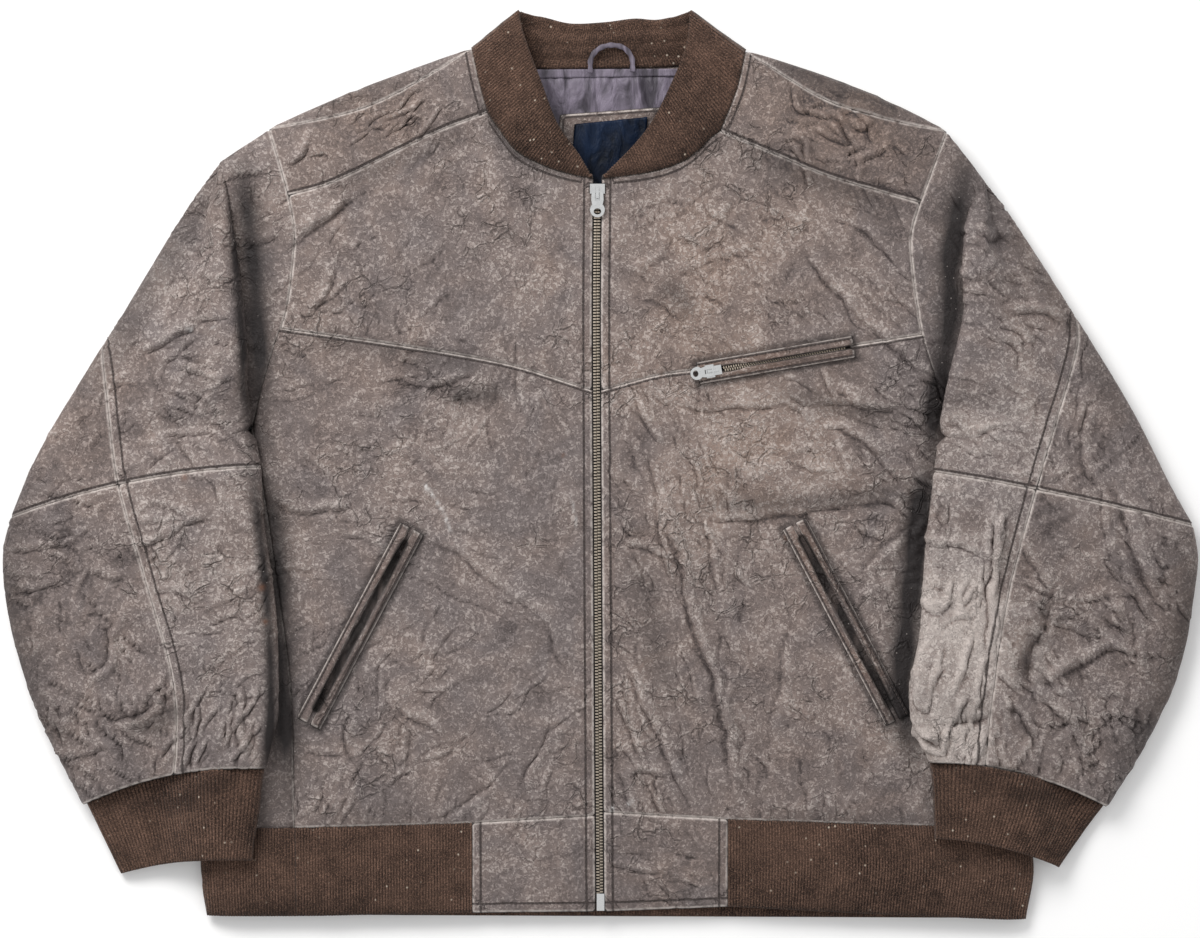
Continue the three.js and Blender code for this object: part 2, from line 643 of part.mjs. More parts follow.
// The seam's place round the ring: on top where it crosses the row, else hidden past the outer edge
function seamPlace(row) {
  const fraction = seamFraction(row.s, row.inner, row.outer);
  if (fraction === null || fraction > 1) return 2;
  const w = fraction * row.width;
  const flat = row.width - row.radius;
  if (w <= flat) return (w - row.overhang) / (flat - row.overhang);
  return 1 + Math.asin(clamp01((w - flat) / row.radius)) / Math.PI;
}

function seamPlaces(rows) {
  const places = rows.map(seamPlace);
  for (let k = 1; k < places.length; k += 1) {
    if (places[k - 1] === 2 && places[k] < 1.3) places[k - 1] = 1.7;
  }
  return places;
}

const spread = (from, to, n) => Array.from({ length: n + 1 }, (_, k) => mix(from, to, k / n));

const outerPlaces = (seam) => (
  seam < 1 ? [...spread(seam, 1, 2), 1.25, 1.5, 1.75, 2, 3] : spread(seam, 3, 7));

function sleevePieces(s) {
  const upper = upperRows(s);
  const lower = lowerRows(s);
  const upperSeam = seamPlaces(upper);
  const lowerSeam = seamPlaces(lower);
  lowerSeam[0] = upperSeam[upperSeam.length - 1];
  const grid = (rows, places) => rows.map((row, k) => places(k).map((c) => ringPoint(row, c)));
  const tucked = [-3, -2.5, -2, -1.5, -1, -0.75, -0.5, -0.25];
  const rolled = [-1, -0.75, -0.5, -0.25];
  const all = [...upper, ...lower.slice(1)];
  return {
    front_upper: grid(upper, (k) => [...tucked, ...spread(0, upperSeam[k], 5)]),
    outer_upper: grid(upper, (k) => outerPlaces(upperSeam[k])),
    front_lower: grid(lower, (k) => [...rolled, ...spread(0, lowerSeam[k], 5)]),
    outer_lower: grid(lower, (k) => outerPlaces(lowerSeam[k])),
    under: grid(all, () => spread(3, 4, 6)),
  };
}

// Cuff: a flattened ribbed tube, open at the hand
function cuff(s) {
  const inner = [V(...s.foldLow[s.foldLow.length - 1]), V(...s.cuffEnd[0])];
  const outer = [V(...s.outerLow[s.outerLow.length - 1]), V(...s.cuffEnd[1])];
  const turns = 20;
  const rows = spread(0, 1, 3).map((t) => {
    const bow = mix(s.bow.cuff, s.bow.end, t);
    const row = rowFrame(s, inner[0].clone().lerp(inner[1], t), outer[0].clone().lerp(outer[1], t),
      null, null, false, bow);
    const ring = spread(0, 2 * Math.PI, turns).map((turn) => {
      const q = (1 - Math.cos(turn)) / 2;
      const p = across(row, row.width * mix(0.015, 0.985, q));
      const low = underZ(s, p.x, p.y) + (RIB - LEATHER) / 2 + 0.2;
      const rise = 3.4 + mix(12, 7, t) * Math.sqrt(4 * q * (1 - q)) ** 0.7;
      return V(p.x, p.y, turn < Math.PI ? low + rise : low);
    });
    ring[0].z = (ring[1].z + ring[turns - 1].z) / 2;
    ring[turns / 2].z = (ring[turns / 2 - 1].z + ring[turns / 2 + 1].z) / 2;
    ring[turns].copy(ring[0]);
    return ring;
  });
  return wall([trimmed(rows, { bottom: 2, top: 0, left: 0, right: 0 })], RIB);
}

// ---------------------------------------------------------------- the neck

const COLLAR_BACK_Z = 1.8;

function collarHalf(s) {
  const lower = along([...s.neckLower.slice(0, -1), [zipX(236) + s.sign * ZIP_HALF_SLOT, 236]], NECK_COLUMNS);
  const upper = along(s.neckUpper, 3);
  const seam = [...lower.reverse(), ...upper.slice(1)].map((p) => V(p.x, p.y, frontZ(p.x, p.y) + 0.5));
  const free = along([...s.freeFront, s.freePeak], seam.length - 1).map((p) => {
    const z = keyed([[236, 28], [300, 29], [346, 24], [363, 19], [376, 12.5]], p.y);
    return V(p.x, p.y, z);
  });
  return { seam, free };
}

function collarRib() {
  const left = collarHalf(LEFT);
  const right = collarHalf(RIGHT);
  const neck = backNeckLine();
  const drop = [0.25, 0.6];
  const backSeam = (a, b, reach) => drop.map((t) => {
    const p = a.clone().lerp(b, t);
    return V(p.x, p.y, mix(a.z, COLLAR_BACK_Z, reach[drop.indexOf(t)]));
  });
  const seamBack = [
    ...backSeam(left.seam[8], neck[1], [0.7, 1]),
    ...neck.slice(1, -1).map((p) => V(p.x, p.y, COLLAR_BACK_Z)),
    ...backSeam(right.seam[8], neck[4], [0.7, 1]).reverse(),
  ];
  const topLine = along([...LEFT.freeBack, ...[...RIGHT.freeBack].reverse().slice(1)], seamBack.length + 1);
  const freeBack = topLine.slice(1, -1).map((p, k) => {
    const end = Math.min(k, seamBack.length - 1 - k);
    return V(p.x, p.y, end === 0 ? 5.5 : 3.2);
  });
  const seam = [...left.seam, ...seamBack, ...right.seam.reverse()];
  const free = [...left.free, ...freeBack, ...right.free.reverse()];
  const rows = spread(0, 1, 4).map((t) => seam.map((p, k) => {
    const q = p.clone().lerp(free[k], t);
    const front = k < 9 || k > seam.length - 10;
    q.z += (front ? 2.4 : 0.4) * Math.sin(Math.PI * t);
    return q;
  }));
  return wall([trimmed(rows, { bottom: ROLLED_TRIM, top: 0, left: 0, right: 0 })], COLLAR);
}

const flatRect = (corners, n, m) => {
  const [a, b, c, d] = corners;
  return coons(along([a, b], n), along([d, c], n), along([a, d], m), along([b, c], m));
};
const LINING_Z = LEATHER + GAP + LINING / 2;
const BINDING = 1.2;
const PATCH = 1.4;
const PATCH_Z = LINING_Z + LINING / 2 + GAP + PATCH / 2;

function neckLining() {
  const grid = flatRect([[-60, 218], [70, 218], [66, 326.5], [-56, 326.5]], 8, 6);
  return wall([lifted(grid, () => LINING_Z)], LINING);
}

function neckBinding() {
  const grid = flatRect([[-55, 319], [65, 321], [65, 327], [-55, 326.4]], 6, 1);
  return wall([lifted(grid, () => LINING_Z + LINING / 2 + GAP + BINDING / 2)], BINDING);
}

function neckPatch() {
  const grid = flatRect([[-37, 224], [46, 224], [50, 295], [-33, 289]], 4, 3);
  return wall([lifted(grid, () => PATCH_Z)], PATCH);
}

function neckLabel() {
  const grid = flatRect([[-25, 228], [35, 228], [39, 287], [-21, 281]], 4, 3);
  return wall([lifted(grid, () => PATCH_Z + PATCH / 2 + GAP + 0.5)], 1.0);
}

function hangerLoop() {
  const path = new THREE.CatmullRomCurve3([V(-8, 323, 9.6), V(-7, 336, 10.5), V(0, 343.5, 11), V(10, 346, 11),
    V(20, 343.5, 11), V(26, 336, 10.5), V(27, 324, 9.6)], false, 'centripetal');
  const section = new THREE.Shape();
  section.absellipse(0, 0, 1.6, 2.5, 0, Math.PI * 2);
  const tube = new THREE.ExtrudeGeometry(section, { steps: 18, curveSegments: 4, extrudePath: path });
  tube.deleteAttribute('normal');
  tube.deleteAttribute('uv');
  return tube;
}

// ---------------------------------------------------------------- pockets and zips

// A strip between two plan points, lying on the front, from one offset to another across it
function strip(from, to, low, high, lift, thickness, steps, columns = 1) {
  const run = V(to[0] - from[0], to[1] - from[1]);
  const normal = V(-run.y, run.x).normalize();
  const start = V(from[0], from[1]);
  const grid = spread(low, high, columns).map((off) => spread(0, 1, steps).map((t) => {
    const p = start.clone().addScaledVector(run, t).addScaledVector(normal, off);
    return V(p.x, p.y, frontZ(p.x, p.y) + lift);
  }));
  return wall([grid], thickness);
}

const ON_FRONT = LEATHER / 2 + GAP;

function handWelt(s, inner) {
  const half = HAND_POCKET.width / 2;
  const reach = inner === (s.sign > 0) ? [HAND_POCKET.slot / 2, half] : [-half, -HAND_POCKET.slot / 2];
  return strip(s.pocket.bottom, s.pocket.top, ...reach, ON_FRONT + 0.1 + WELT / 2, WELT, 8, 2);
}

function chestWelt(upper) {
  const half = CHEST_POCKET.height / 2;
  const reach = upper ? [CHEST_POCKET.slot / 2, half] : [-half, -CHEST_POCKET.slot / 2];
  return strip(CHEST_POCKET.start, CHEST_POCKET.end, ...reach, ON_FRONT + 0.1 + WELT / 2, WELT, 7, 2);
}

const chestAngle = Math.atan2(CHEST_POCKET.end[1] - CHEST_POCKET.start[1],
  CHEST_POCKET.end[0] - CHEST_POCKET.start[0]);
const chestAt = (distance) => [CHEST_POCKET.start[0] + distance * Math.cos(chestAngle),
  CHEST_POCKET.start[1] + distance * Math.sin(chestAngle)];

function chestChain() {
  return strip(chestAt(22), chestAt(122), -CHEST_CHAIN_WIDTH / 2, CHEST_CHAIN_WIDTH / 2,
    ON_FRONT + 0.1 + 0.6, 1.2, 6);
}

function zipStrip(from, to, low, high, lift, thickness, steps) {
  const grid = [low, high].map((off) => spread(from, to, steps).map((y) => {
    const x = zipX(y);
    return V(x + off, y, frontZ(x, y) + lift);
  }));
  return wall([grid], thickness);
}

const ZIP_TOP = 227;
const ZIP_END = -352;
const TAPE_DROP = -2.4;
const tape = (s) => zipStrip(ZIP_END, ZIP_TOP, s.sign * 0.3, s.sign * 13, TAPE_DROP, 1.0, 14);
const chain = () => zipStrip(ZIP_END, 215, -CHAIN_WIDTH / 2, CHAIN_WIDTH / 2, -0.1, 1.9, 24);

function block(x0, x1, y0, y1, z0, z1) {
  const box = new THREE.BoxGeometry(x1 - x0, y1 - y0, z1 - z0);
  box.deleteAttribute('normal');
  box.deleteAttribute('uv');
  box.translate((x0 + x1) / 2, (y0 + y1) / 2, (z0 + z1) / 2);
  return toManifold(box);
}

function zipBottom() {
  const z = frontZ(0.5, -360);
  return fromManifold(block(-2.7, 3.6, -366.4, ZIP_END - GAP, z - 1.4, z + 2.1));
}

// Slider in its own frame: the pull's pivot at the origin, the chain leaving towards -Y
const PLATE_DROP = 1.4;
function slider(lowerPlate) {
  const top = -PLATE_DROP;
  const under = top - 1.6;
  let body = block(-4.4, 4.4, -8.3, 4.2, under, top);
  body = body.add(block(-6.1, 6.1, -1.5, 6.6, under, top));
  body = body.add(block(-1.2, 1.2, -5.4, -3.6, top - 0.2, 2.4));
  body = body.add(block(-1.2, 1.2, 3.1, 4.9, top - 0.2, 2.4));
  body = body.add(block(-1.2, 1.2, -5.4, 4.9, 1.2, 2.4));
  if (lowerPlate) {
    body = body.add(block(-1.4, 1.4, 4.4, 6.6, under - 5.2, top));
    body = body.add(block(-5.2, 5.2, -6.5, 6.6, under - 6.4, under - 4.9));
  }
  return body;
}

// Pull tab in the same frame, lying towards -Y; its cross bar is round the pivot
const PULL = { thick: 1.3, waist: 10.6 };
function pullTab(scale = 1) {
  const outline = new THREE.Shape();
  outline.moveTo(-4.2, 0.9);
  outline.quadraticCurveTo(-5.2, -3, -5.0, -7);
  outline.quadraticCurveTo(-4.6, -9.5, -4.2, -PULL.waist);
  outline.quadraticCurveTo(-6.2, -12.5, -6.2, -15.2);
  outline.absarc(0, -15.0, 6.0, Math.PI, Math.PI * 2, false);
  outline.quadraticCurveTo(6.2, -12.5, 4.2, -PULL.waist);
  outline.quadraticCurveTo(4.6, -9.5, 5.0, -7);
  outline.quadraticCurveTo(5.2, -3, 4.2, 0.9);
  outline.closePath();
  const slot = new THREE.Path();
  slot.moveTo(-2, -0.9);
  slot.lineTo(2, -0.9);
  slot.lineTo(2, -7.4);
  slot.lineTo(-2, -7.4);
  slot.closePath();
  const ring = new THREE.Path();
  ring.absellipse(0, -16.2, 3.1, 2.6, 0, Math.PI * 2, true);
  outline.holes.push(slot, ring);
  const tab = new THREE.ExtrudeGeometry(outline, { depth: PULL.thick, bevelEnabled: false, curveSegments: 6 });
  tab.deleteAttribute('normal');
  tab.deleteAttribute('uv');
  tab.translate(0, 0, -PULL.thick / 2);
  tab.scale(scale, scale, scale);
  return tab;
}

const MAIN_PIVOT = V(zipX(223.8), 223.8, frontZ(zipX(223.8), 223.8) + LEATHER / 2 + 0.35 + 1.6 + PLATE_DROP);
const CHEST_SCALE = 0.88;
const chestPivotPlan = chestAt(12.5);
const CHEST_PIVOT = V(...chestPivotPlan, frontZ(...chestPivotPlan) + ON_FRONT + 0.1 + 1.2 + GAP
  + (1.6 + PLATE_DROP) * CHEST_SCALE);

// ---------------------------------------------------------------- the assembly

const jacket = new THREE.Group();
const FINISH = {
  leather: { color: 0x7d726d, roughness: 0.78, metalness: 0 },
  leatherTrim: { color: 0x6f6259, roughness: 0.7, metalness: 0 },
  rib: { color: 0x4b3b33, roughness: 0.95, metalness: 0 },
  lining: { color: 0x726b76, roughness: 0.5, metalness: 0 },
  label: { color: 0x232d3c, roughness: 0.6, metalness: 0 },
  tape: { color: 0x1e1b1a, roughness: 0.9, metalness: 0 },
  teeth: { color: 0x7a684c, roughness: 0.45, metalness: 1 },
  nickel: { color: 0xb9b9b7, roughness: 0.3, metalness: 1 },
};

function add(name, geometry, finish, place = null, turn = 0) {
  const mesh = new THREE.Mesh(geometry, new THREE.MeshStandardMaterial(FINISH[finish]));
  mesh.name = name;
  if (place) mesh.position.copy(place);
  mesh.rotation.z = turn;
  jacket.add(mesh);
}

const SLEEVE_TRIMS = {
  front_upper: { top: 0.4, left: 0.4, right: 1.8 },
  outer_upper: { bottom: 1, top: 0.4, left: 1.8, right: 0.4 },
  front_lower: { bottom: 0.4, left: 0.4 },
  outer_lower: { bottom: 0.4, right: 0.4 },
  under: { bottom: 1, left: 0.4, right: 1.2 },
};

for (const [letter, s] of [['L', LEFT], ['R', RIGHT]]) {
  const front = frontPanels(s);
  const yoke = trimmed(lifted(front.yoke, frontZ), { top: ROLLED_TRIM, left: 1.1, right: 1.1 });
  add(`front_yoke_${letter}`, wall([yoke], LEATHER), 'leather');
  add(`front_chest_${letter}`, wall([trimmed(lifted(front.chest, frontZ))], LEATHER), 'leather');
  add(`front_lower_${letter}`, frontLower(s, front.lower), 'leather');
  add(`hem_tab_${letter}`, hemTab(s), 'leather');
  add(`hem_rib_front_${letter}`, hemRibFront(s), 'rib');
  for (const [name, grid] of Object.entries(sleevePieces(s))) {
    add(`sleeve_${name}_${letter}`, wall([trimmed(grid, SLEEVE_TRIMS[name])], LEATHER), 'leather');
  }
  add(`cuff_${letter}`, cuff(s), 'rib');
  add(`hand_welt_inner_${letter}`, handWelt(s, true), 'leatherTrim');
  add(`hand_welt_outer_${letter}`, handWelt(s, false), 'leatherTrim');
  add(`zip_tape_${letter}`, tape(s), 'tape');
}
add('back_panel', backPanel(), 'leather');
add('hem_rib_back', hemRibBack(), 'rib');
add('collar_rib', collarRib(), 'rib');
add('neck_lining', neckLining(), 'lining');
add('neck_binding', neckBinding(), 'lining');
add('neck_patch', neckPatch(), 'leatherTrim');
add('neck_label', neckLabel(), 'label');
add('hanger_loop', hangerLoop(), 'lining');
add('chest_welt_upper', chestWelt(true), 'leatherTrim');
add('chest_welt_lower', chestWelt(false), 'leatherTrim');
add('chest_zip_chain', chestChain(), 'teeth');
add('zip_chain', chain(), 'teeth');
add('zip_bottom', zipBottom(), 'nickel');
add('zip_slider', fromManifold(slider(true)), 'nickel', MAIN_PIVOT);
add('zip_pull', pullTab(), 'nickel', MAIN_PIVOT);
add('chest_zip_slider', fromManifold(slider(false).scale([CHEST_SCALE, CHEST_SCALE, CHEST_SCALE])), 'nickel',
  CHEST_PIVOT, chestAngle + Math.PI / 2);
add('chest_zip_pull', pullTab(CHEST_SCALE), 'nickel', CHEST_PIVOT, chestAngle - Math.PI / 2);

export default jacket;
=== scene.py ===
"""Worn leather bomber jacket lying flat, front up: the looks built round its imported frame.

Forms are worked out in millimetres, with +X to the right, +Y towards the neck and +Z up,
and are turned to metres as each mesh is made. "L" pieces are on the -X side.
"""

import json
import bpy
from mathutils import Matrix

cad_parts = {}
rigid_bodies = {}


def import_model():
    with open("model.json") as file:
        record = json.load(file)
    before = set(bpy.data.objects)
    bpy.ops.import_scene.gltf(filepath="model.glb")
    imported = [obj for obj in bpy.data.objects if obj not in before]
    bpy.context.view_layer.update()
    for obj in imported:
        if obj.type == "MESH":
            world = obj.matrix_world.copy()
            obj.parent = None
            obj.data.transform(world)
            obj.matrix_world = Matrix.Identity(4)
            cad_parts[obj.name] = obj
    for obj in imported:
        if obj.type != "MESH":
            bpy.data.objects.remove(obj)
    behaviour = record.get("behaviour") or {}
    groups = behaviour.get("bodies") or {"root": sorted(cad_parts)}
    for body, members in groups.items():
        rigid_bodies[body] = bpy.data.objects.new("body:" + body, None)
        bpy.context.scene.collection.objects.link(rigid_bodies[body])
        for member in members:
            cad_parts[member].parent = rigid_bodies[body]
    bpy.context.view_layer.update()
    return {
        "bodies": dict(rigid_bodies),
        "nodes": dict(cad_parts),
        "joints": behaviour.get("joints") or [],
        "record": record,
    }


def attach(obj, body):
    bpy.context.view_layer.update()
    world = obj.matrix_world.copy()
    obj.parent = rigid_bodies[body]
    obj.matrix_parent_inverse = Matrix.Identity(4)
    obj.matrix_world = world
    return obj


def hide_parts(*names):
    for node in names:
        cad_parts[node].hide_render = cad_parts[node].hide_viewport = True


bl_info = {
    "name": "Worn leather jacket",
    "version": (1, 0, 0),
    "blender": (4, 5, 0),
    "location": "View3D > Sidebar > Jacket",
    "description": "Builds a worn leather bomber jacket that lies flat, piece by piece",
    "category": "Add Mesh",
}

from types import SimpleNamespace as Bundle

import bpy
import numpy as np

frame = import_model()

MM = 0.001
JACKET = "jacket"

# Walls
LEATHER = 2.0
RIB = 2.6
COLLAR = 3.0
LINING = 1.0
WELT = 1.2
GAP = 0.4

# Heights of the body, from hem to shoulder, as (y, height of the front's middle surface)
FRONT_LEVEL = [(-374, 14), (-298, 20), (-200, 24), (0, 25), (200, 25), (376, 24)]
SIDE_ROLL = 30
BACK_ROLL = 15
SHOULDER_ROLL = 28
BACK_LEVEL = LEATHER / 2

# Sleeve heights over whatever they lie on
FOLD_OVERHANG = 13
FOLD_HEIGHT = 17
SLEEVE_OUTER_ROLL = 30
SLEEVE_OUTER_TOP = 25
UNDER_WIDTH = 45

# Main zip
ZIP_LINE = [(-374, 0), (-234, -1), (-78, -2), (123, -3), (235, -2)]
ZIP_HALF_SLOT = 3.8
ZIP_TOP = 215
ZIP_END = -352
NECK_FRONT = 236
ZIP_JOIN = 61

# Outlines, as (x, y), or as (y, x) keys where a side runs up the body
LEFT = Bundle(
    letter="L", sign=-1,
    edge=[(-374, -323), (-326, -328), (-258, -324), (-127, -312), (-61, -305), (33, -285),
          (94, -268), (128, -257), (174, -251), (199, -251), (237, -260), (276, -272)],
    underarm=33, chest_join=112, yoke_join=221, tip=276,
    side_seam=[(-374, -250), (-252, -251), (-184, -253), (-111, -262), (-29, -274), (33, -285)],
    shoulder=[(-272, 276), (-237, 292), (-189, 312), (-126, 335), (-105, 342)],
    shoulder_seam=[(-272, 276), (-232, 283), (-193, 293), (-150, 314), (-105, 342)],
    yoke_seam=[(-254, 221), (-222, 230), (-164, 258), (-131, 274), (-92, 289)],
    neck_upper=[(-92, 289), (-98, 310), (-102, 328), (-105, 342)],
    neck_lower=[(-92, 289), (-81, 273), (-69, 258), (-51, 248), (-31, 241), (-6, 236)],
    back_neck=[(-105, 342), (-90, 336), (-56, 328), (5, 328)],
    chest_seam=[(-262, 112), (-164, 98), (-103, 88), (-66, 80), (-7, 61)],
    tab_x=-105,
    hem_y=Bundle(side=-298, tab=-294, zip=-288),
    bottom_y=Bundle(side=-371, tab=-368, zip=-367),
    free_front=[(-8, 236), (-16, 252), (-35, 280), (-48, 314), (-60, 346), (-65, 363), (-66, 373)],
    free_back=[(-66, 373), (-46, 369), (-25, 364), (4, 365)],
    notch=(-311, 250), cap=(-283, 270),
    outer=[(-311, 250), (-340, 209), (-390, 127), (-441, 45), (-464, 4), (-484, -43)],
    outer_low=[(-484, -43), (-490, -70), (-487, -119), (-463, -201), (-425, -279)],
    fold=[(-311, 250), (-303, 209), (-294, 148), (-289, 90), (-289, 60), (-278, -2)],
    fold_low=[(-278, -2), (-276, -40), (-265, -128), (-265, -205), (-274, -248)],
    sleeve_seam=[(-409, 96), (-405, 60), (-396, -16), (-374, -96), (-350, -180), (-346, -224), (-350, -282)],
    cuff_end=[(-285, -324), (-396, -337)],
    bow=Bundle(elbow=9, cuff=10, end=5),
    pocket=Bundle(top=(-154, -52), bottom=(-239, -212)),
)
RIGHT = Bundle(
    letter="R", sign=1,
    edge=[(-374, 350), (-326, 356), (-258, 343), (-193, 330), (-127, 320), (-61, 308), (33, 286),
          (80, 272), (108, 264), (165, 256), (193, 256), (237, 271), (274, 285)],
    underarm=33, chest_join=107, yoke_join=215, tip=274,
    side_seam=[(-374, 336), (-326, 342), (-258, 329), (-193, 316), (-127, 307), (-61, 297), (33, 286)],
    shoulder=[(285, 274), (253, 291), (205, 312), (141, 334), (119, 340)],
    shoulder_seam=[(285, 274), (251, 280), (220, 288), (184, 300), (119, 340)],
    yoke_seam=[(262, 215), (220, 227), (184, 238), (148, 253), (98, 274)],
    neck_upper=[(98, 274), (105, 290), (113, 312), (119, 340)],
    neck_lower=[(98, 274), (90, 268), (80, 258), (65, 248), (43, 241), (2, 236)],
    back_neck=[(119, 340), (104, 336), (66, 330), (5, 328)],
    chest_seam=[(263, 107), (207, 98), (80, 78), (50, 74), (2, 61)],
    tab_x=105,
    hem_y=Bundle(side=-298, tab=-291, zip=-285),
    bottom_y=Bundle(side=-374, tab=-363, zip=-367),
    free_front=[(4, 236), (11, 244), (39, 276), (59, 314), (71, 346), (73, 360), (74, 373)],
    free_back=[(74, 373), (47, 367), (29, 368), (4, 365)],
    notch=(316, 233), cap=(299, 262),
    outer=[(316, 233), (334, 209), (387, 127), (437, 45), (468, -16), (487, -50)],
    outer_low=[(487, -50), (491, -75), (477, -165), (453, -221), (417, -281)],
    fold=[(316, 233), (303, 208), (297, 165), (298, 126), (285, 68), (274, -6)],
    fold_low=[(274, -6), (267, -67), (262, -139), (254, -200), (270, -243)],
    sleeve_seam=[(391, 128), (392, 100), (376, 42), (357, -20), (332, -116), (321, -193), (312, -275)],
    cuff_end=[(275, -306), (378, -331)],
    bow=Bundle(elbow=3, cuff=10, end=6),
    pocket=Bundle(top=(159, -48), bottom=(244, -209)),
)
HALVES = (LEFT, RIGHT)

# Largest folds of the leather: (x0, y0, x1, y1, half width, height)
FOLDS = [
    (54, -22, 92, -175, 15, 3.2), (92, -175, 116, -278, 13, 3), (40, -160, 84, -262, 12, -2),
    (166, 190, 272, 78, 13, 2.6), (-147, -45, -32, -145, 20, 2), (-171, -180, -126, -230, 12, 2.2),
    (190, 75, 245, 40, 12, -2), (70, -30, 270, -22, 12, -1.8), (-253, 199, -200, 232, 11, 2.4),
    (-375, 100, -318, 132, 13, 3), (-365, 45, -300, 20, 14, 2.6), (-398, -110, -415, -170, 13, 3),
    (-352, -180, -410, -212, 12, 3.2), (428, -5, 460, -105, 13, 3.4), (358, -100, 392, -235, 12, 3.4),
    (322, -15, 325, -135, 12, 2.6), (352, -150, 436, -130, 11, -2.4), (277, -198, 322, -196, 11, -2.6),
]

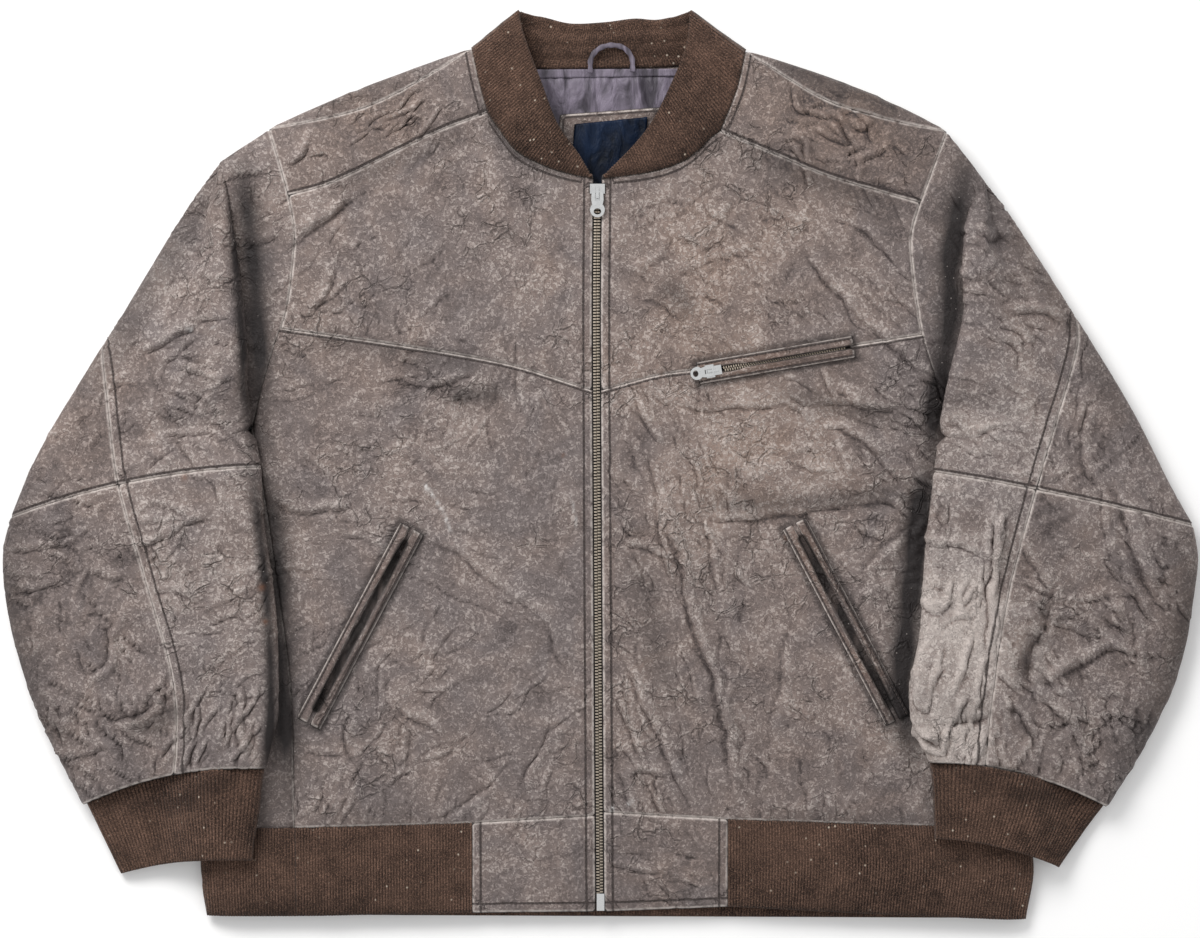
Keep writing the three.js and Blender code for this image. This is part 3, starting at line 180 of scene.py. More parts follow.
# Creases placed one by one: (width, height, x, y of each point in turn); a height below 0 is a trough
CREASES = [
    # left sleeve, upper part
    (6, 2.6, -376, 97, -348, 116, -317, 132), (5, -2, -364, 86, -354, 65, -345, 40),
    (4, 1.6, -354, 34, -337, 34), (5, 2.2, -341, 27, -332, 17, -322, 7),
    (5, 2.4, -343, 18, -354, 9, -367, 0), (4, 1.6, -345, 91, -331, 91, -314, 85, -291, 86),
    (4, 1.8, -314, 75, -325, 59, -331, 48), (5, 2, -321, 50, -303, 42, -291, 30, -285, 19),
    (6, -2.4, -306, 241, -291, 245, -275, 246), (6, -2.2, -291, 186, -276, 190, -260, 193),
    (5, 1.8, -291, 106, -280, 103, -269, 99),
    # left sleeve, lower part
    (6, 2.6, -391, -111, -399, -139, -399, -152, -417, -169), (6, 3, -351, -180, -371, -198, -396, -206),
    (5, 2.2, -391, -207, -371, -214, -358, -219), (5, 2, -444, -234, -426, -229, -405, -221),
    (5, 2.4, -344, -203, -347, -224, -355, -235), (5, 2.2, -294, -195, -290, -221, -293, -248),
    (5, 2, -487, -64, -444, -56, -425, -51), (5, 1.8, -485, -98, -461, -91, -440, -83),
    (5, 1.8, -417, -75, -396, -82, -386, -77), (5, 1.8, -384, -56, -348, -43, -309, -20),
    # left of the body
    (7, 3, -253, 194, -228, 212, -201, 230), (6, 2.6, -243, 134, -226, 153, -216, 174),
    (6, -2, -176, 80, -145, 71, -103, 80), (4, 1.5, -119, 112, -106, 112, -93, 103),
    (5, 1.8, -115, 75, -122, 44, -126, 22), (5, 1.6, -68, 121, -66, 99, -61, 55, -57, 38),
    (6, 2, -272, -17, -241, -29, -201, -22),
    (7, 1.8, -146, -46, -117, -60, -86, -86, -52, -108, -33, -137, -26, -166),
    (6, 2, -164, -186, -146, -199, -126, -212), (5, 1.8, -180, -147, -177, -166, -181, -202),
    (5, 2, -198, -194, -207, -216, -201, -239), (5, 1.8, -191, -235, -206, -271),
    (5, 1.6, -243, -223, -227, -228, -210, -228), (6, 1.9, -26, -204, -48, -228, -63, -262),
    (6, 1.9, -81, -257, -107, -272, -129, -288),
    # right of the chest
    (5, 1.8, 17, 213, 37, 221, 57, 226, 85, 220), (5, 2, 85, 227, 98, 211, 107, 226),
    (5, 1.6, 59, 198, 75, 194, 92, 189), (6, 2, 59, 167, 92, 178, 123, 187, 131, 203),
    (4, 1.6, 116, 180, 130, 169), (4, 1.4, 48, 180, 55, 194), (6, -2.2, 28, 145, 48, 141, 68, 123),
    (6, -1.8, 83, 148, 110, 134), (6, 2, 30, 66, 39, 44, 52, 22), (6, -2, 57, 57, 83, 52, 162, 57),
    (5, 1.8, 42, 11, 50, -16), (5, 2.2, 186, 299, 203, 285, 215, 263),
    (6, -2.4, 184, 211, 220, 194, 248, 165), (7, 3, 166, 191, 186, 165, 225, 124, 253, 100, 272, 78),
    (6, 2.4, 194, 75, 217, 59, 241, 55, 253, 61), (6, 2.6, 191, 44, 215, 33, 235, 13, 253, -11),
    (5, -2, 236, 37, 277, 43), (5, 1.8, 191, 39, 205, -2),
    # right of the body, below
    (7, -2.4, 67, -26, 91, -39, 175, -31, 271, -20),
    (8, 3.4, 53, -22, 67, -60, 84, -132, 103, -184, 116, -278), (6, -1.8, 87, -43, 98, -108),
    (5, 2, 20, -54, 41, -60, 65, -66), (7, 2.6, 20, -147, 41, -192, 62, -239, 82, -280),
    (6, 2, 12, -177, 25, -206, 36, -238), (6, 2, 15, -252, 31, -242, 62, -246),
    (6, 2.6, 269, -39, 233, -65, 221, -84, 227, -78), (5, 2, 211, -104, 233, -91),
    (5, 2, 213, -43, 235, -56), (8, 1.4, 163, -113, 151, -180, 142, -223),
    (5, 1.8, 7, -321, 33, -326, 56, -330), (5, 1.8, 48, -335, 62, -355), (5, 1.6, 87, -335, 70, -359),
    # right sleeve, upper part
    (6, 2.4, 306, 203, 321, 203, 340, 189), (5, 2, 302, 165, 316, 170, 337, 179),
    (6, 2.6, 340, 139, 369, 134, 385, 126), (5, 2, 349, 124, 357, 109),
    (5, 2, 304, 34, 326, 42, 342, 44), (5, 2, 400, 75, 393, 44), (6, 2.4, 408, 61, 398, 23, 412, -13),
    (5, 2, 369, -2, 388, 11), (8, 3.2, 426, -12, 439, -38, 445, -62, 460, -103),
    # right sleeve, lower part
    (6, 2.6, 323, -13, 324, -67, 319, -106, 321, -135, 326, -149), (6, 2.4, 349, -53, 378, -92),
    (6, -2.4, 347, -84, 378, -98), (8, -3.4, 376, -101, 359, -139, 348, -173),
    (5, 2.2, 357, -162, 362, -185), (6, 2.6, 442, -113, 443, -139, 449, -169),
    (5, 2, 417, -116, 436, -130), (7, 3.2, 359, -164, 398, -149, 431, -133),
    (6, 2.8, 354, -171, 383, -195, 404, -239), (5, 2.2, 440, -169, 431, -212),
    (5, 2, 326, -157, 347, -175), (7, -3, 328, -198, 339, -190, 357, -219),
    (5, 2.2, 332, -221, 337, -250), (7, -3, 277, -198, 303, -197, 326, -196),
    (5, 2.2, 272, -51, 287, -48, 316, -62), (5, 2, 308, -224, 298, -243), (5, 2, 412, -234, 413, -255),
    (4, 1.8, 395, -255, 395, -268),
]

# Fields of small creases: (x, y, half width, half height, count, length, lean in degrees, spread, height)
SMALL_CREASES = [
    (-200, 180, 70, 60, 16, 34, 35, 30, 1.1), (-120, 160, 90, 70, 14, 30, 75, 40, 0.8),
    (-190, 60, 80, 60, 20, 34, -10, 35, 1), (-90, 40, 70, 60, 22, 30, 80, 30, 0.9),
    (-160, -60, 110, 60, 20, 40, -25, 35, 0.9), (-190, -200, 60, 80, 26, 34, 65, 35, 1.1),
    (-80, -210, 80, 70, 20, 36, 40, 40, 1), (-150, -280, 120, 14, 26, 20, 80, 20, 1),
    (90, 190, 80, 50, 26, 30, 20, 50, 1.2), (200, 180, 60, 60, 20, 36, -45, 30, 1.2),
    (110, 120, 90, 40, 14, 30, -20, 40, 0.8), (205, 290, 50, 40, 26, 26, -30, 60, 2.3),
    (-190, 285, 60, 25, 18, 26, 30, 40, 1.7), (60, 30, 50, 50, 18, 34, -65, 25, 1.1),
    (220, 20, 60, 60, 26, 36, -30, 35, 1.4), (70, -120, 50, 100, 30, 44, -72, 18, 1.3),
    (170, -130, 70, 110, 18, 40, -75, 30, 0.9), (260, -60, 40, 60, 16, 30, 20, 40, 1),
    (100, -260, 90, 30, 24, 28, -75, 30, 1.2), (240, -285, 70, 14, 18, 20, 85, 20, 1),
    (60, -330, 40, 28, 12, 24, -40, 50, 1.1), (-60, -330, 40, 28, 8, 22, 30, 50, 0.6),
    (-400, 60, 50, 70, 24, 30, 40, 45, 1.1), (-325, 150, 30, 80, 24, 28, 20, 40, 1.2),
    (-320, 20, 35, 50, 22, 30, -25, 35, 1.4), (-440, -60, 40, 60, 20, 30, 5, 30, 1.1),
    (-430, -160, 50, 60, 30, 30, -60, 40, 1.4), (-320, -100, 45, 80, 22, 34, 20, 40, 1),
    (-330, -215, 55, 40, 34, 28, 75, 35, 1.7), (-420, -225, 30, 40, 22, 26, -50, 30, 1.6),
    (330, 170, 35, 60, 26, 30, -20, 45, 1.4), (400, 60, 50, 70, 26, 32, 70, 35, 1.3),
    (310, 60, 35, 60, 16, 28, -30, 40, 1), (450, -60, 35, 60, 24, 34, -65, 25, 1.5),
    (300, -110, 40, 80, 28, 38, 80, 25, 1.4), (400, -150, 50, 60, 36, 32, -40, 50, 1.7),
    (320, -220, 50, 30, 30, 28, 85, 30, 1.7), (410, -235, 40, 40, 26, 28, 70, 30, 1.6),
    (0, 100, 480, 250, 120, 24, 60, 90, 0.6), (0, -150, 480, 150, 110, 24, -60, 90, 0.6),
]
CREASE_SEED = 71
CREASE_DENSITY = 1.5
CREASE_SHARPNESS = 0.7
CREASE_RISE = 1.3
STROKE_STEP = 7  # length of a straight part of a bent stroke

# Patches of tone on the leather: (x, y, radius, lighter or darker, browner or greyer)
PATCHES = [
    (131, 20, 70, 1, 0.9), (110, 150, 80, 0.15, 0.7), (60, 90, 50, 0.25, 0.5), (40, 200, 50, 0.3, 0.3),
    (200, 290, 60, -1, 0.8), (-190, 300, 50, -0.2, 0.6), (-150, 170, 60, -0.35, -0.2),
    (-230, 60, 55, -0.25, 0.2), (-60, 130, 60, 0.2, 0), (-40, 30, 60, 0.1, -0.1),
    (-200, -40, 70, 0.15, 0), (-90, -110, 70, 0.1, -0.1), (-150, -250, 70, 0.2, 0.2),
    (20, -120, 45, -0.3, 0), (200, -150, 70, -0.1, 0.1), (180, -250, 70, 0.1, 0.3),
    (-420, 20, 50, -0.35, 0.2), (-330, -120, 60, 0.4, 0.1), (-450, -120, 50, -0.3, 0),
    (-370, 130, 60, 0.25, 0.1), (300, -130, 60, 2.7, 0.3), (290, -220, 40, 2.4, 0.3),
    (330, 30, 60, 1.3, 0.1), (440, -40, 50, 0.5, 0), (400, -200, 60, 0.5, 0),
    (-60, -330, 60, 0.1, 0), (60, -330, 60, -0.25, 0.1), (230, 180, 50, -0.25, -0.1),
    (262, 250, 40, -0.3, 0.3), (-280, 170, 35, -0.4, 0), (60, -20, 45, 0.1, 0.3),
]

# Chalky scratches, as (width, strength, x, y of each point in turn)
SCRATCHES = [
    (1.6, 1, -144, -15, -140, -22, -136, -26), (1.4, 0.9, -138, -24, -131, -34, -126, -42),
    (1.3, 0.8, -128, -40, -124, -50, -121, -58), (1.2, 0.5, -142, -20, -132, -22),
    (1.3, 0.5, -24, -26, -21, -40, -19, -53), (1.6, 0.9, 22, -280, 27, -274), (1.4, 0.8, 8, -285, 12, -279),
    (1.1, 0.7, -338, 114, -333, 117, -331, 112, -336, 109, -338, 114), (1, 0.4, -318, 112, -311, 113),
]
# Broad dark strips of painted shade, as (half width, strength, x, y of each point in turn)
SHADES = [
    (11, 1.8, -300, 268, -293, 236, -289, 205, -283, 148, -279, 90, -279, 60, -273, -20),
    (12, 1.9, -285, 20, -268, -45, -262, -143, -258, -242, -262, -300),
    (12, 2.1, 304, 276, 299, 236, 293, 204, 288, 165, 288, 126, 280, 68, 272, -20),
    (13, 2.1, 280, 20, 263, -30, 256, -100, 248, -193, 262, -260),
    (17, 0.9, -452, 30, -478, -30, -484, -110, -462, -200, -425, -272),
    (18, 0.9, 478, -40, 486, -110, 466, -190, 420, -268),
    (14, 0.7, -300, 262, -335, 200, -388, 118, -436, 40), (14, 0.6, 312, 228, 345, 180, 396, 105, 450, 10),
    (14, 0.5, -262, 282, -200, 306, -120, 336), (14, 0.8, 270, 276, 205, 308, 126, 334),
    (10, 0.6, -240, 224, -165, 252, -95, 284), (12, 0.8, 255, 210, 184, 232, 105, 266),
    (8, 0.5, -245, -290, -110, -290), (8, 0.5, 110, -288, 325, -292),
    (9, 0.7, -276, -244, -350, -276, -420, -274), (9, 0.7, 272, -240, 340, -268, 412, -276),
    (10, 0.5, -262, 108, -164, 92, -66, 76), (8, 0.9, -130, 60, -100, 56, -75, 66),
    (9, 0.9, 44, 148, 62, 140, 80, 122), (9, 0.7, 130, 60, 215, 45, 270, 38),
    (8, 1, 75, -28, 130, -33, 268, -20), (12, 0.5, 20, -60, 40, -120, 60, -200),
    (9, 0.8, 372, -100, 356, -145, 344, -185), (9, 0.8, -330, -192, -360, -212, -392, -214),
    (9, 0.7, 282, -203, 300, -203, 325, -202),
    # knit: back of the collar, its folded edges, its seam, the tops of the hem and cuffs
    (13, 0.7, -80, 348, 0, 340, 84, 348), (6, 0.6, -66, 373, -58, 346, -35, 280, -16, 252),
    (6, 0.6, 73, 360, 58, 314, 39, 276, 11, 244), (7, 0.8, -98, 312, -80, 270, -44, 243, -4, 236),
    (7, 0.8, 106, 300, 88, 268, 50, 242, 4, 236), (16, 0.6, -330, -368, -110, -372),
    (14, 0.6, 120, -368, 350, -374), (10, 0.9, -268, -250, -274, -290, -285, -324),
    (10, 0.7, 272, -246, 274, -275, 275, -306), (9, 0.6, -426, -284, -396, -337),
    (9, 0.6, 416, -286, 378, -331),
]
# Rust spots, as (x, y, radius, strength)
RUST = [(-276, -100, 2.6, 1), (-273, -128, 2, 1), (-339, -10, 2.4, 1), (-30, 8, 1.4, 1), (152, -60, 1.6, 1)]

# Chest pocket and hand pockets
CHEST_POCKET = Bundle(start=(80, 75), end=(208, 97), height=18.5, slot=5.4)
HAND_POCKET = Bundle(width=22, slot=2.4)

SEWN = []  # lines of stitches, as arrays of points


# -------- sizes and colours that a user sets

def shade(red, green, blue):
    """A colour given on the usual 0 to 255 scale, as the linear values that a shader takes."""
    parts = np.array([red, green, blue]) / 255
    linear = np.where(parts <= 0.04045, parts / 12.92, ((parts + 0.055) / 1.055) ** 2.4)
    return tuple(float(v) for v in linear)


def colour(name, description, *rgb):
    return bpy.props.FloatVectorProperty(
        name=name, description=description, subtype="COLOR", size=3, min=0, max=1, default=shade(*rgb))


def number(name, description, default, low, high, **more):
    return bpy.props.FloatProperty(
        name=name, description=description, default=default, min=low, max=high, **more)


class LeatherSettings(bpy.types.PropertyGroup):
    """The leather of the jacket."""

    wrinkles: number("Wrinkles", "Height of the creases, as a share of the worn jacket's", 1, 0, 2,
                     subtype="FACTOR")
    crumple: number("Crumple", "Height of the small unevenness all over, in millimetres", 0.55, 0, 2)
    stitch: number("Stitch", "Length of one stitch", 0.0034, 0.002, 0.01, unit="LENGTH", precision=4)
    grey: colour("Grey", "Colour of most of the leather", 121, 111, 109)
    brown: colour("Brown", "Colour of the browner patches", 136, 117, 107)
    # This colour also paints the shade in the creases' troughs.
    dark: colour("Dark", "Colour of the leather's darker mottling", 62, 54, 53)
    pale: colour("Pale", "Colour of worn ridges and edges", 208, 198, 192)
    # This colour paints the shade in the deepest folds, and the dark lines at the seams' edges.
    darkening: colour("Shade and seams", "Colour of the dirt in the deepest folds", 36, 31, 31)


class KnitSettings(bpy.types.PropertyGroup):
    """The ribbed knit of the collar, cuffs and hem."""

    pitch: number("Rib pitch", "From one rib to the next", 0.0024, 0.001, 0.01, unit="LENGTH", precision=4)
    depth: number("Rib depth", "Depth of the channel between ribs", 0.0009, 0, 0.003, unit="LENGTH",
                  precision=4)
    brown: colour("Brown", "Colour of the knit", 102, 79, 67)
    # This colour also paints the shade between the ribs and by the collar, hem and cuffs.
    dark: colour("Dark", "Colour between the ribs", 24, 16, 13)
    lint: colour("Lint", "Colour of the specks of lint", 190, 176, 160)


class TrimSettings(bpy.types.PropertyGroup):
    """The lining, label, pocket edges and metal."""

    lining: colour("Lining", "Colour of the satin lining", 100, 93, 105)
    label: colour("Label", "Colour of the bare cloth label", 14, 25, 43)
    welt: colour("Welt", "Colour of the browner leather round the pockets", 116, 97, 88)
    tape: colour("Tape", "Colour of the zip tape", 20, 18, 18)
    teeth: colour("Teeth", "Colour of the zip teeth", 182, 170, 155)
    nickel: colour("Nickel", "Colour of the sliders and pulls", 224, 225, 225)
    thread: colour("Thread", "Colour of the sewing thread", 66, 57, 54)


class StudioSettings(bpy.types.PropertyGroup):
    """The floor, light and camera."""

    height: number("Camera height", "Height of the camera over the floor", 3.2, 1, 10, unit="LENGTH")
    field: number("Field", "Width of the view at the height of the jacket's outline", 0.984, 0.2, 3,
                  unit="LENGTH")
    key: number("Key light", "Power of the main soft light", 62, 0, 1000, unit="POWER")
    sky: number("Sky", "Strength of the light from all round", 0.72, 0, 5)


# -------- curves and grids

def clamp01(t):
    return np.clip(t, 0.0, 1.0)


def ease(t):
    t = clamp01(t)
    return t * t * (3 - 2 * t)


def mix(a, b, t):
    return a + (b - a) * t


def roll(q):
    return np.sqrt(1 - (1 - clamp01(q)) ** 2)


def keyed(keys, t):
    """Value of a smooth line through (key, value) pairs, keys rising."""
    table = np.asarray(keys, float)
    k, v = table[:, 0], table[:, 1]
    t = np.clip(np.asarray(t, float), k[0], k[-1])
    i = np.clip(np.searchsorted(k, t) - 1, 0, len(k) - 2)
    order = np.arange(len(k))
    low, high = np.maximum(order - 1, 0), np.minimum(order + 1, len(k) - 1)
    slope = (v[high] - v[low]) / (k[high] - k[low])
    span = k[i + 1] - k[i]
    s = (t - k[i]) / span
    rise = (s**3 - 2 * s * s + s) * span * slope[i] + (s**3 - s * s) * span * slope[i + 1]
    return mix(v[i], v[i + 1], s * s * (3 - 2 * s)) + rise


def resampled(line, segments):
    """The same line with evenly spaced points."""
    run = np.concatenate([[0], np.cumsum(np.linalg.norm(np.diff(line, axis=0), axis=1))])
    at = np.linspace(0, run[-1], segments + 1)
    return np.stack([np.interp(at, run, line[:, k]) for k in range(line.shape[1])], 1)


def along(points, segments):
    """Evenly spaced points along a smooth curve through the given ones."""
    p = np.asarray(points, float)
    q = np.vstack([2 * p[0] - p[1], p, 2 * p[-1] - p[-2]])
    step = np.maximum(np.linalg.norm(np.diff(q, axis=0), axis=1) ** 0.5, 1e-4)
    s = np.linspace(0, 1, 25)[:-1, None]
    parts = []
    for k in range(len(p) - 1):
        a, b, c, d = q[k:k + 4]
        d0, d1, d2 = step[k:k + 3]
        m1 = ((b - a) / d0 - (c - a) / (d0 + d1) + (c - b) / d1) * d1
        m2 = ((c - b) / d1 - (d - b) / (d1 + d2) + (d - c) / d2) * d1
        parts.append(b * (2 * s**3 - 3 * s * s + 1) + m1 * (s**3 - 2 * s * s + s)
                     + c * (3 * s * s - 2 * s**3) + m2 * (s**3 - s * s))
    return resampled(np.vstack([*parts, p[-1:]]), segments)


def joined(*lines):
    """Lines that follow each other, without the points that they share."""
    return np.vstack([lines[0], *[line[1:] for line in lines[1:]]])


def coons(bottom, top, left, right):
    """A grid between four lists of points (bottom and top left to right, sides bottom to top)."""
    u = np.linspace(0, 1, len(bottom))[None, :, None]
    v = np.linspace(0, 1, len(left))[:, None, None]
    corners = ((1 - u) * (1 - v) * bottom[0] + u * (1 - v) * bottom[-1]
               + (1 - u) * v * top[0] + u * v * top[-1])
    return (1 - v) * bottom[None] + v * top[None] + (1 - u) * left[:, None] + u * right[:, None] - corners


def lifted(plan, height):
    """A plan grid raised to the given surface."""
    return np.dstack([plan[..., 0], plan[..., 1], height(plan[..., 0], plan[..., 1])])


def noise(x, y, size, seed):
    """Smooth random heights from -1 to 1, with bumps of about the given size."""
    table = np.random.default_rng(seed).random((256, 256))
    u = (x * 0.92 + y * 0.39) / size + 900.0
    v = (y * 0.92 - x * 0.39) / size + 900.0
    i, j = np.floor(u).astype(int), np.floor(v).astype(int)
    fu, fv = ease(u - i), ease(v - j)
    i0, i1, j0, j1 = i % 256, (i + 1) % 256, j % 256, (j + 1) % 256
    low = mix(table[i0, j0], table[i1, j0], fu)
    high = mix(table[i0, j1], table[i1, j1], fu)
    return 2 * mix(low, high, fv) - 1


# -------- the form of the body

def fold_lift(x, y):
    lift = np.zeros(np.shape(x))
    for x0, y0, x1, y1, width, height in FOLDS:
        dx, dy = x1 - x0, y1 - y0
        length = np.hypot(dx, dy)
        t = ((x - x0) * dx + (y - y0) * dy) / length**2
        off = ((x - x0) * dy - (y - y0) * dx) / length
        ends = ease((t + 0.15) / 0.35) * ease((1.15 - t) / 0.35)
        lift = lift + height * np.exp(-((off / width) ** 2)) * ends
    return lift


SILHOUETTE_TOP = [LEFT.notch, LEFT.cap, *LEFT.shoulder, LEFT.free_back[0], RIGHT.free_back[0],
                  *RIGHT.shoulder[::-1], RIGHT.cap, RIGHT.notch]


def level(y):
    return keyed(FRONT_LEVEL, y)


def front_z(x, y):
    """Height of the middle of the front's leather."""
    x, y = np.asarray(x, float), np.asarray(y, float)
    inside = np.where(x < 0, x - keyed(LEFT.edge, y), keyed(RIGHT.edge, y) - x)
    flank = mix(roll(inside / SIDE_ROLL), 1, ease((y - LEFT.underarm) / 45))
    top = roll((keyed(SILHOUETTE_TOP, x) - y) / SHOULDER_ROLL)
    return level(y) / 2 + (level(y) / 2 + fold_lift(x, y)) * flank * top


def back_z(inside, y, radius):
    half = level(y) / 2
    return half - (half - BACK_LEVEL) * roll(inside / np.maximum(radius, 0.01))


ARM_FINE = 12  # points to a step of the armhole


def armhole(s, fine=ARM_FINE):
    """Plan points of the armhole from the underarm up, with its joins at fixed shares."""
    steps = [(s.underarm, s.chest_join, 3), (s.chest_join, s.yoke_join, 4), (s.yoke_join, s.tip, 3)]
    heights = joined(*[np.linspace(a, b, n * fine + 1)[:, None] for a, b, n in steps])[:, 0]
    return np.stack([keyed(s.edge, heights), heights], 1)


def zip_edge(s, low, high, n):
    y = np.linspace(low, high, n + 1)
    return np.stack([keyed(ZIP_LINE, y) + s.sign * ZIP_HALF_SLOT, y], 1)


def zip_point(s, y):
    return (float(keyed(ZIP_LINE, y)) + s.sign * ZIP_HALF_SLOT, y)


def side_line(s, low, high, n):
    y = np.linspace(low, high, n + 1)
    return np.stack([keyed(s.side_seam, y), y], 1)


def hem_line(s, heights, rib_cells, tab_cells):
    outer = (float(keyed(s.side_seam, heights.side)), heights.side)
    tab = (s.tab_x, heights.tab)
    half = (mix(outer[0], tab[0], 0.5), mix(outer[1], tab[1], 0.45))
    rib = along([outer, half, tab], rib_cells)
    if not tab_cells:
        return rib
    return joined(rib, along([tab, zip_point(s, heights.zip)], tab_cells))


# -------- the relief of worn leather

def curve_steps(*points):
    """A smooth line through points, given as pairs or as x, y of each in turn."""
    p = np.array(points, float).reshape(-1, 2)
    length = np.linalg.norm(np.diff(p, axis=0), axis=1).sum()
    return along(p, max(2, int(length / STROKE_STEP)))


def stroke_distance(x, y, line):
    """Distance of points from a line, below 0 on its right, and how far along it each one's place is."""
    best = np.full(x.shape, 1e9)
    share = np.zeros(x.shape)
    for k in range(len(line) - 1):
        a, d = line[k], line[k + 1] - line[k]
        t = clamp01(((x - a[0]) * d[0] + (y - a[1]) * d[1]) / max(d @ d, 1e-9))
        gap = np.hypot(x - a[0] - t * d[0], y - a[1] - t * d[1])
        gap = np.where(d[0] * (y - a[1]) < d[1] * (x - a[0]), -gap, gap)
        near = np.abs(gap) < np.abs(best)
        best = np.where(near, gap, best)
        share = np.where(near, (k + t) / (len(line) - 1), share)
    return best, share


def crease_profile(q, height):
    """A ridge that falls steeply on one side into a thin trough, or a trough with one raised lip."""
    if height > 0:
        fall = np.where(q < 0, 3.2, 1.1)
        return height * (0.85 * np.exp(-fall * q * q) - 0.55 * np.exp(-(((q + 1.0) / 0.42) ** 2)))
    return height * (np.exp(-3.6 * np.abs(q)) - 0.5 * np.exp(-(((q - 0.9) / 0.5) ** 2)))


def small_creases():
    """Short seeded creases in each field, bent a little, as the placed ones are given."""
    rng = np.random.default_rng(CREASE_SEED)
    out = []
    for x, y, w, h, count, length, lean, spread, height in SMALL_CREASES:
        for _ in range(int(count * CREASE_DENSITY)):
            centre = np.array([x + rng.uniform(-w, w), y + rng.uniform(-h, h)])
            angle = np.radians(lean + rng.uniform(-spread, spread))
            half = 0.5 * length * rng.uniform(0.5, 1.4)
            run = np.array([np.cos(angle), np.sin(angle)]) * half
            bend = np.array([-run[1], run[0]]) * rng.uniform(-0.3, 0.3)
            rise = height * rng.uniform(0.6, 1.6) * (1 if rng.random() < 0.6 else -1)
            out.append((rng.uniform(2.2, 4.4), rise, centre - run, centre + bend, centre + run))
    return out


def strokes(rows, wider=1.0, higher=1.0):
    return [(wider * width, higher * height, curve_steps(*points)) for width, height, *points in rows]


CREASE_LINES = strokes([*CREASES, *small_creases()], CREASE_SHARPNESS, CREASE_RISE)
SCRATCH_LINES = strokes(SCRATCHES)
SHADE_LINES = strokes(SHADES)


def drawn(x, y, lines, profile, reach, join=np.add):
    """Sum of a profile over strokes, each faded at its ends, or their greatest with join=np.maximum."""
    total = np.zeros(x.shape)
    for width, height, line in lines:
        far = width * reach
        near = ((x > line[:, 0].min() - far) & (x < line[:, 0].max() + far)
                & (y > line[:, 1].min() - far) & (y < line[:, 1].max() + far))
        if not near.any():
            continue
        gap, share = stroke_distance(x[near], y[near], line)
        ends = ease(share / 0.25) * ease((1 - share) / 0.25) * 0.85 + 0.15
        total[near] = join(total[near], profile(gap / width, height) * ends)
    return total


def relief(x, y, leather):
    """Creases and crumple of the leather over its smooth form."""
    bend_x = x + 2.4 * noise(x, y, 17, 1) + 0.9 * noise(x, y, 6, 2)
    bend_y = y + 2.4 * noise(x, y, 17, 3) + 0.9 * noise(x, y, 6, 4)
    creases = drawn(bend_x, bend_y, CREASE_LINES, crease_profile, 3.2) * leather.wrinkles
    crest = (1 - 2.2 * np.abs(noise(bend_x, bend_y, 30, 5))) * 0.9
    crest = crest + (1 - 2.2 * np.abs(noise(bend_x, bend_y, 14, 6))) * 0.55
    crest = crest + noise(bend_x, bend_y, 7, 7) * 0.3
    busy = 0.65 + 0.6 * noise(x, y, 90, 8)
    return creases + crest * leather.crumple * busy


def spots(x, y, rows, column=3):
    """Sum of round soft spots whose strength is in the given column."""
    total = np.zeros(x.shape)
    for row in rows:
        total += row[column] * np.exp(-(((x - row[0]) ** 2 + (y - row[1]) ** 2) / row[2] ** 2))
    return total


def run_between(start, end):
    """Both ends and the direction from one to the other."""
    a, b = np.array(start, float), np.array(end, float)
    return a, b, (b - a) / np.linalg.norm(b - a)


def pocket_rim(x, y):
    """Closeness to the outline of any pocket's welts, from 0 to 1."""
    total = np.zeros(x.shape)
    places = [(s.pocket.bottom, s.pocket.top, HAND_POCKET.width / 2) for s in HALVES]
    for start, end, half in [*places, (CHEST_POCKET.start, CHEST_POCKET.end, CHEST_POCKET.height / 2)]:
        a, b, run = run_between(start, end)
        side = np.array([-run[1], run[0]]) * (half + 1.4)
        a, b = a - run * 1.6, b + run * 1.6
        gap, _ = stroke_distance(x, y, np.array([a - side, b - side, b + side, a + side, a - side]))
        total = np.maximum(total, np.exp(-((gap / 2.4) ** 2)))
    return total


def shadow(x, y):
    """Painted deep shade by the edges of the body, sleeves and pockets, in strips and round the pockets'
    welts.
    """
    strips = drawn(x, y, SHADE_LINES, lambda q, h: h * np.exp(-q * q), 2.6, np.maximum)
    return np.maximum(strips * (0.9 + 0.2 * noise(x, y, 24, 22)), 1.1 * pocket_rim(x, y))


def chalk(x, y):
    broken = clamp01(0.6 + noise(x, y, 2.0, 21))
    return drawn(x, y, SCRATCH_LINES, lambda q, h: h * np.exp(-q * q * 2.0), 2.5) * broken


def slot_depth(x, y):
    """Closeness to the middle of a pocket's slot, from 0 to 1."""
    total = np.zeros(x.shape)
    ends = [(s.pocket.bottom, s.pocket.top, 4.6, 14) for s in HALVES]
    ends.append((CHEST_POCKET.start, CHEST_POCKET.end, 2.4, 4))
    for start, end, width, inset in ends:
        a, b, run = run_between(start, end)
        gap, _ = stroke_distance(x, y, np.stack([a + run * inset, b - run * inset]))
        total = np.maximum(total, np.exp(-((gap / width) ** 4)))
    return total


# -------- meshes

def seam_distances(grid):
    """Distance of each point of a grid from its four sides: b, t, l and r."""
    across = np.linalg.norm(np.diff(grid, axis=1), axis=2)
    upward = np.linalg.norm(np.diff(grid, axis=0), axis=2)
    left = np.concatenate([np.zeros((grid.shape[0], 1)), np.cumsum(across, 1)], 1)
    bottom = np.concatenate([np.zeros((1, grid.shape[1])), np.cumsum(upward, 0)], 0)
    return {"l": left, "r": left[:, -1:] - left, "b": bottom, "t": bottom[-1:] - bottom}


FAR = 60.0  # the distance of points that no seam or stitch is near
SHARED = 400  # points within 1 / SHARED of each other are one


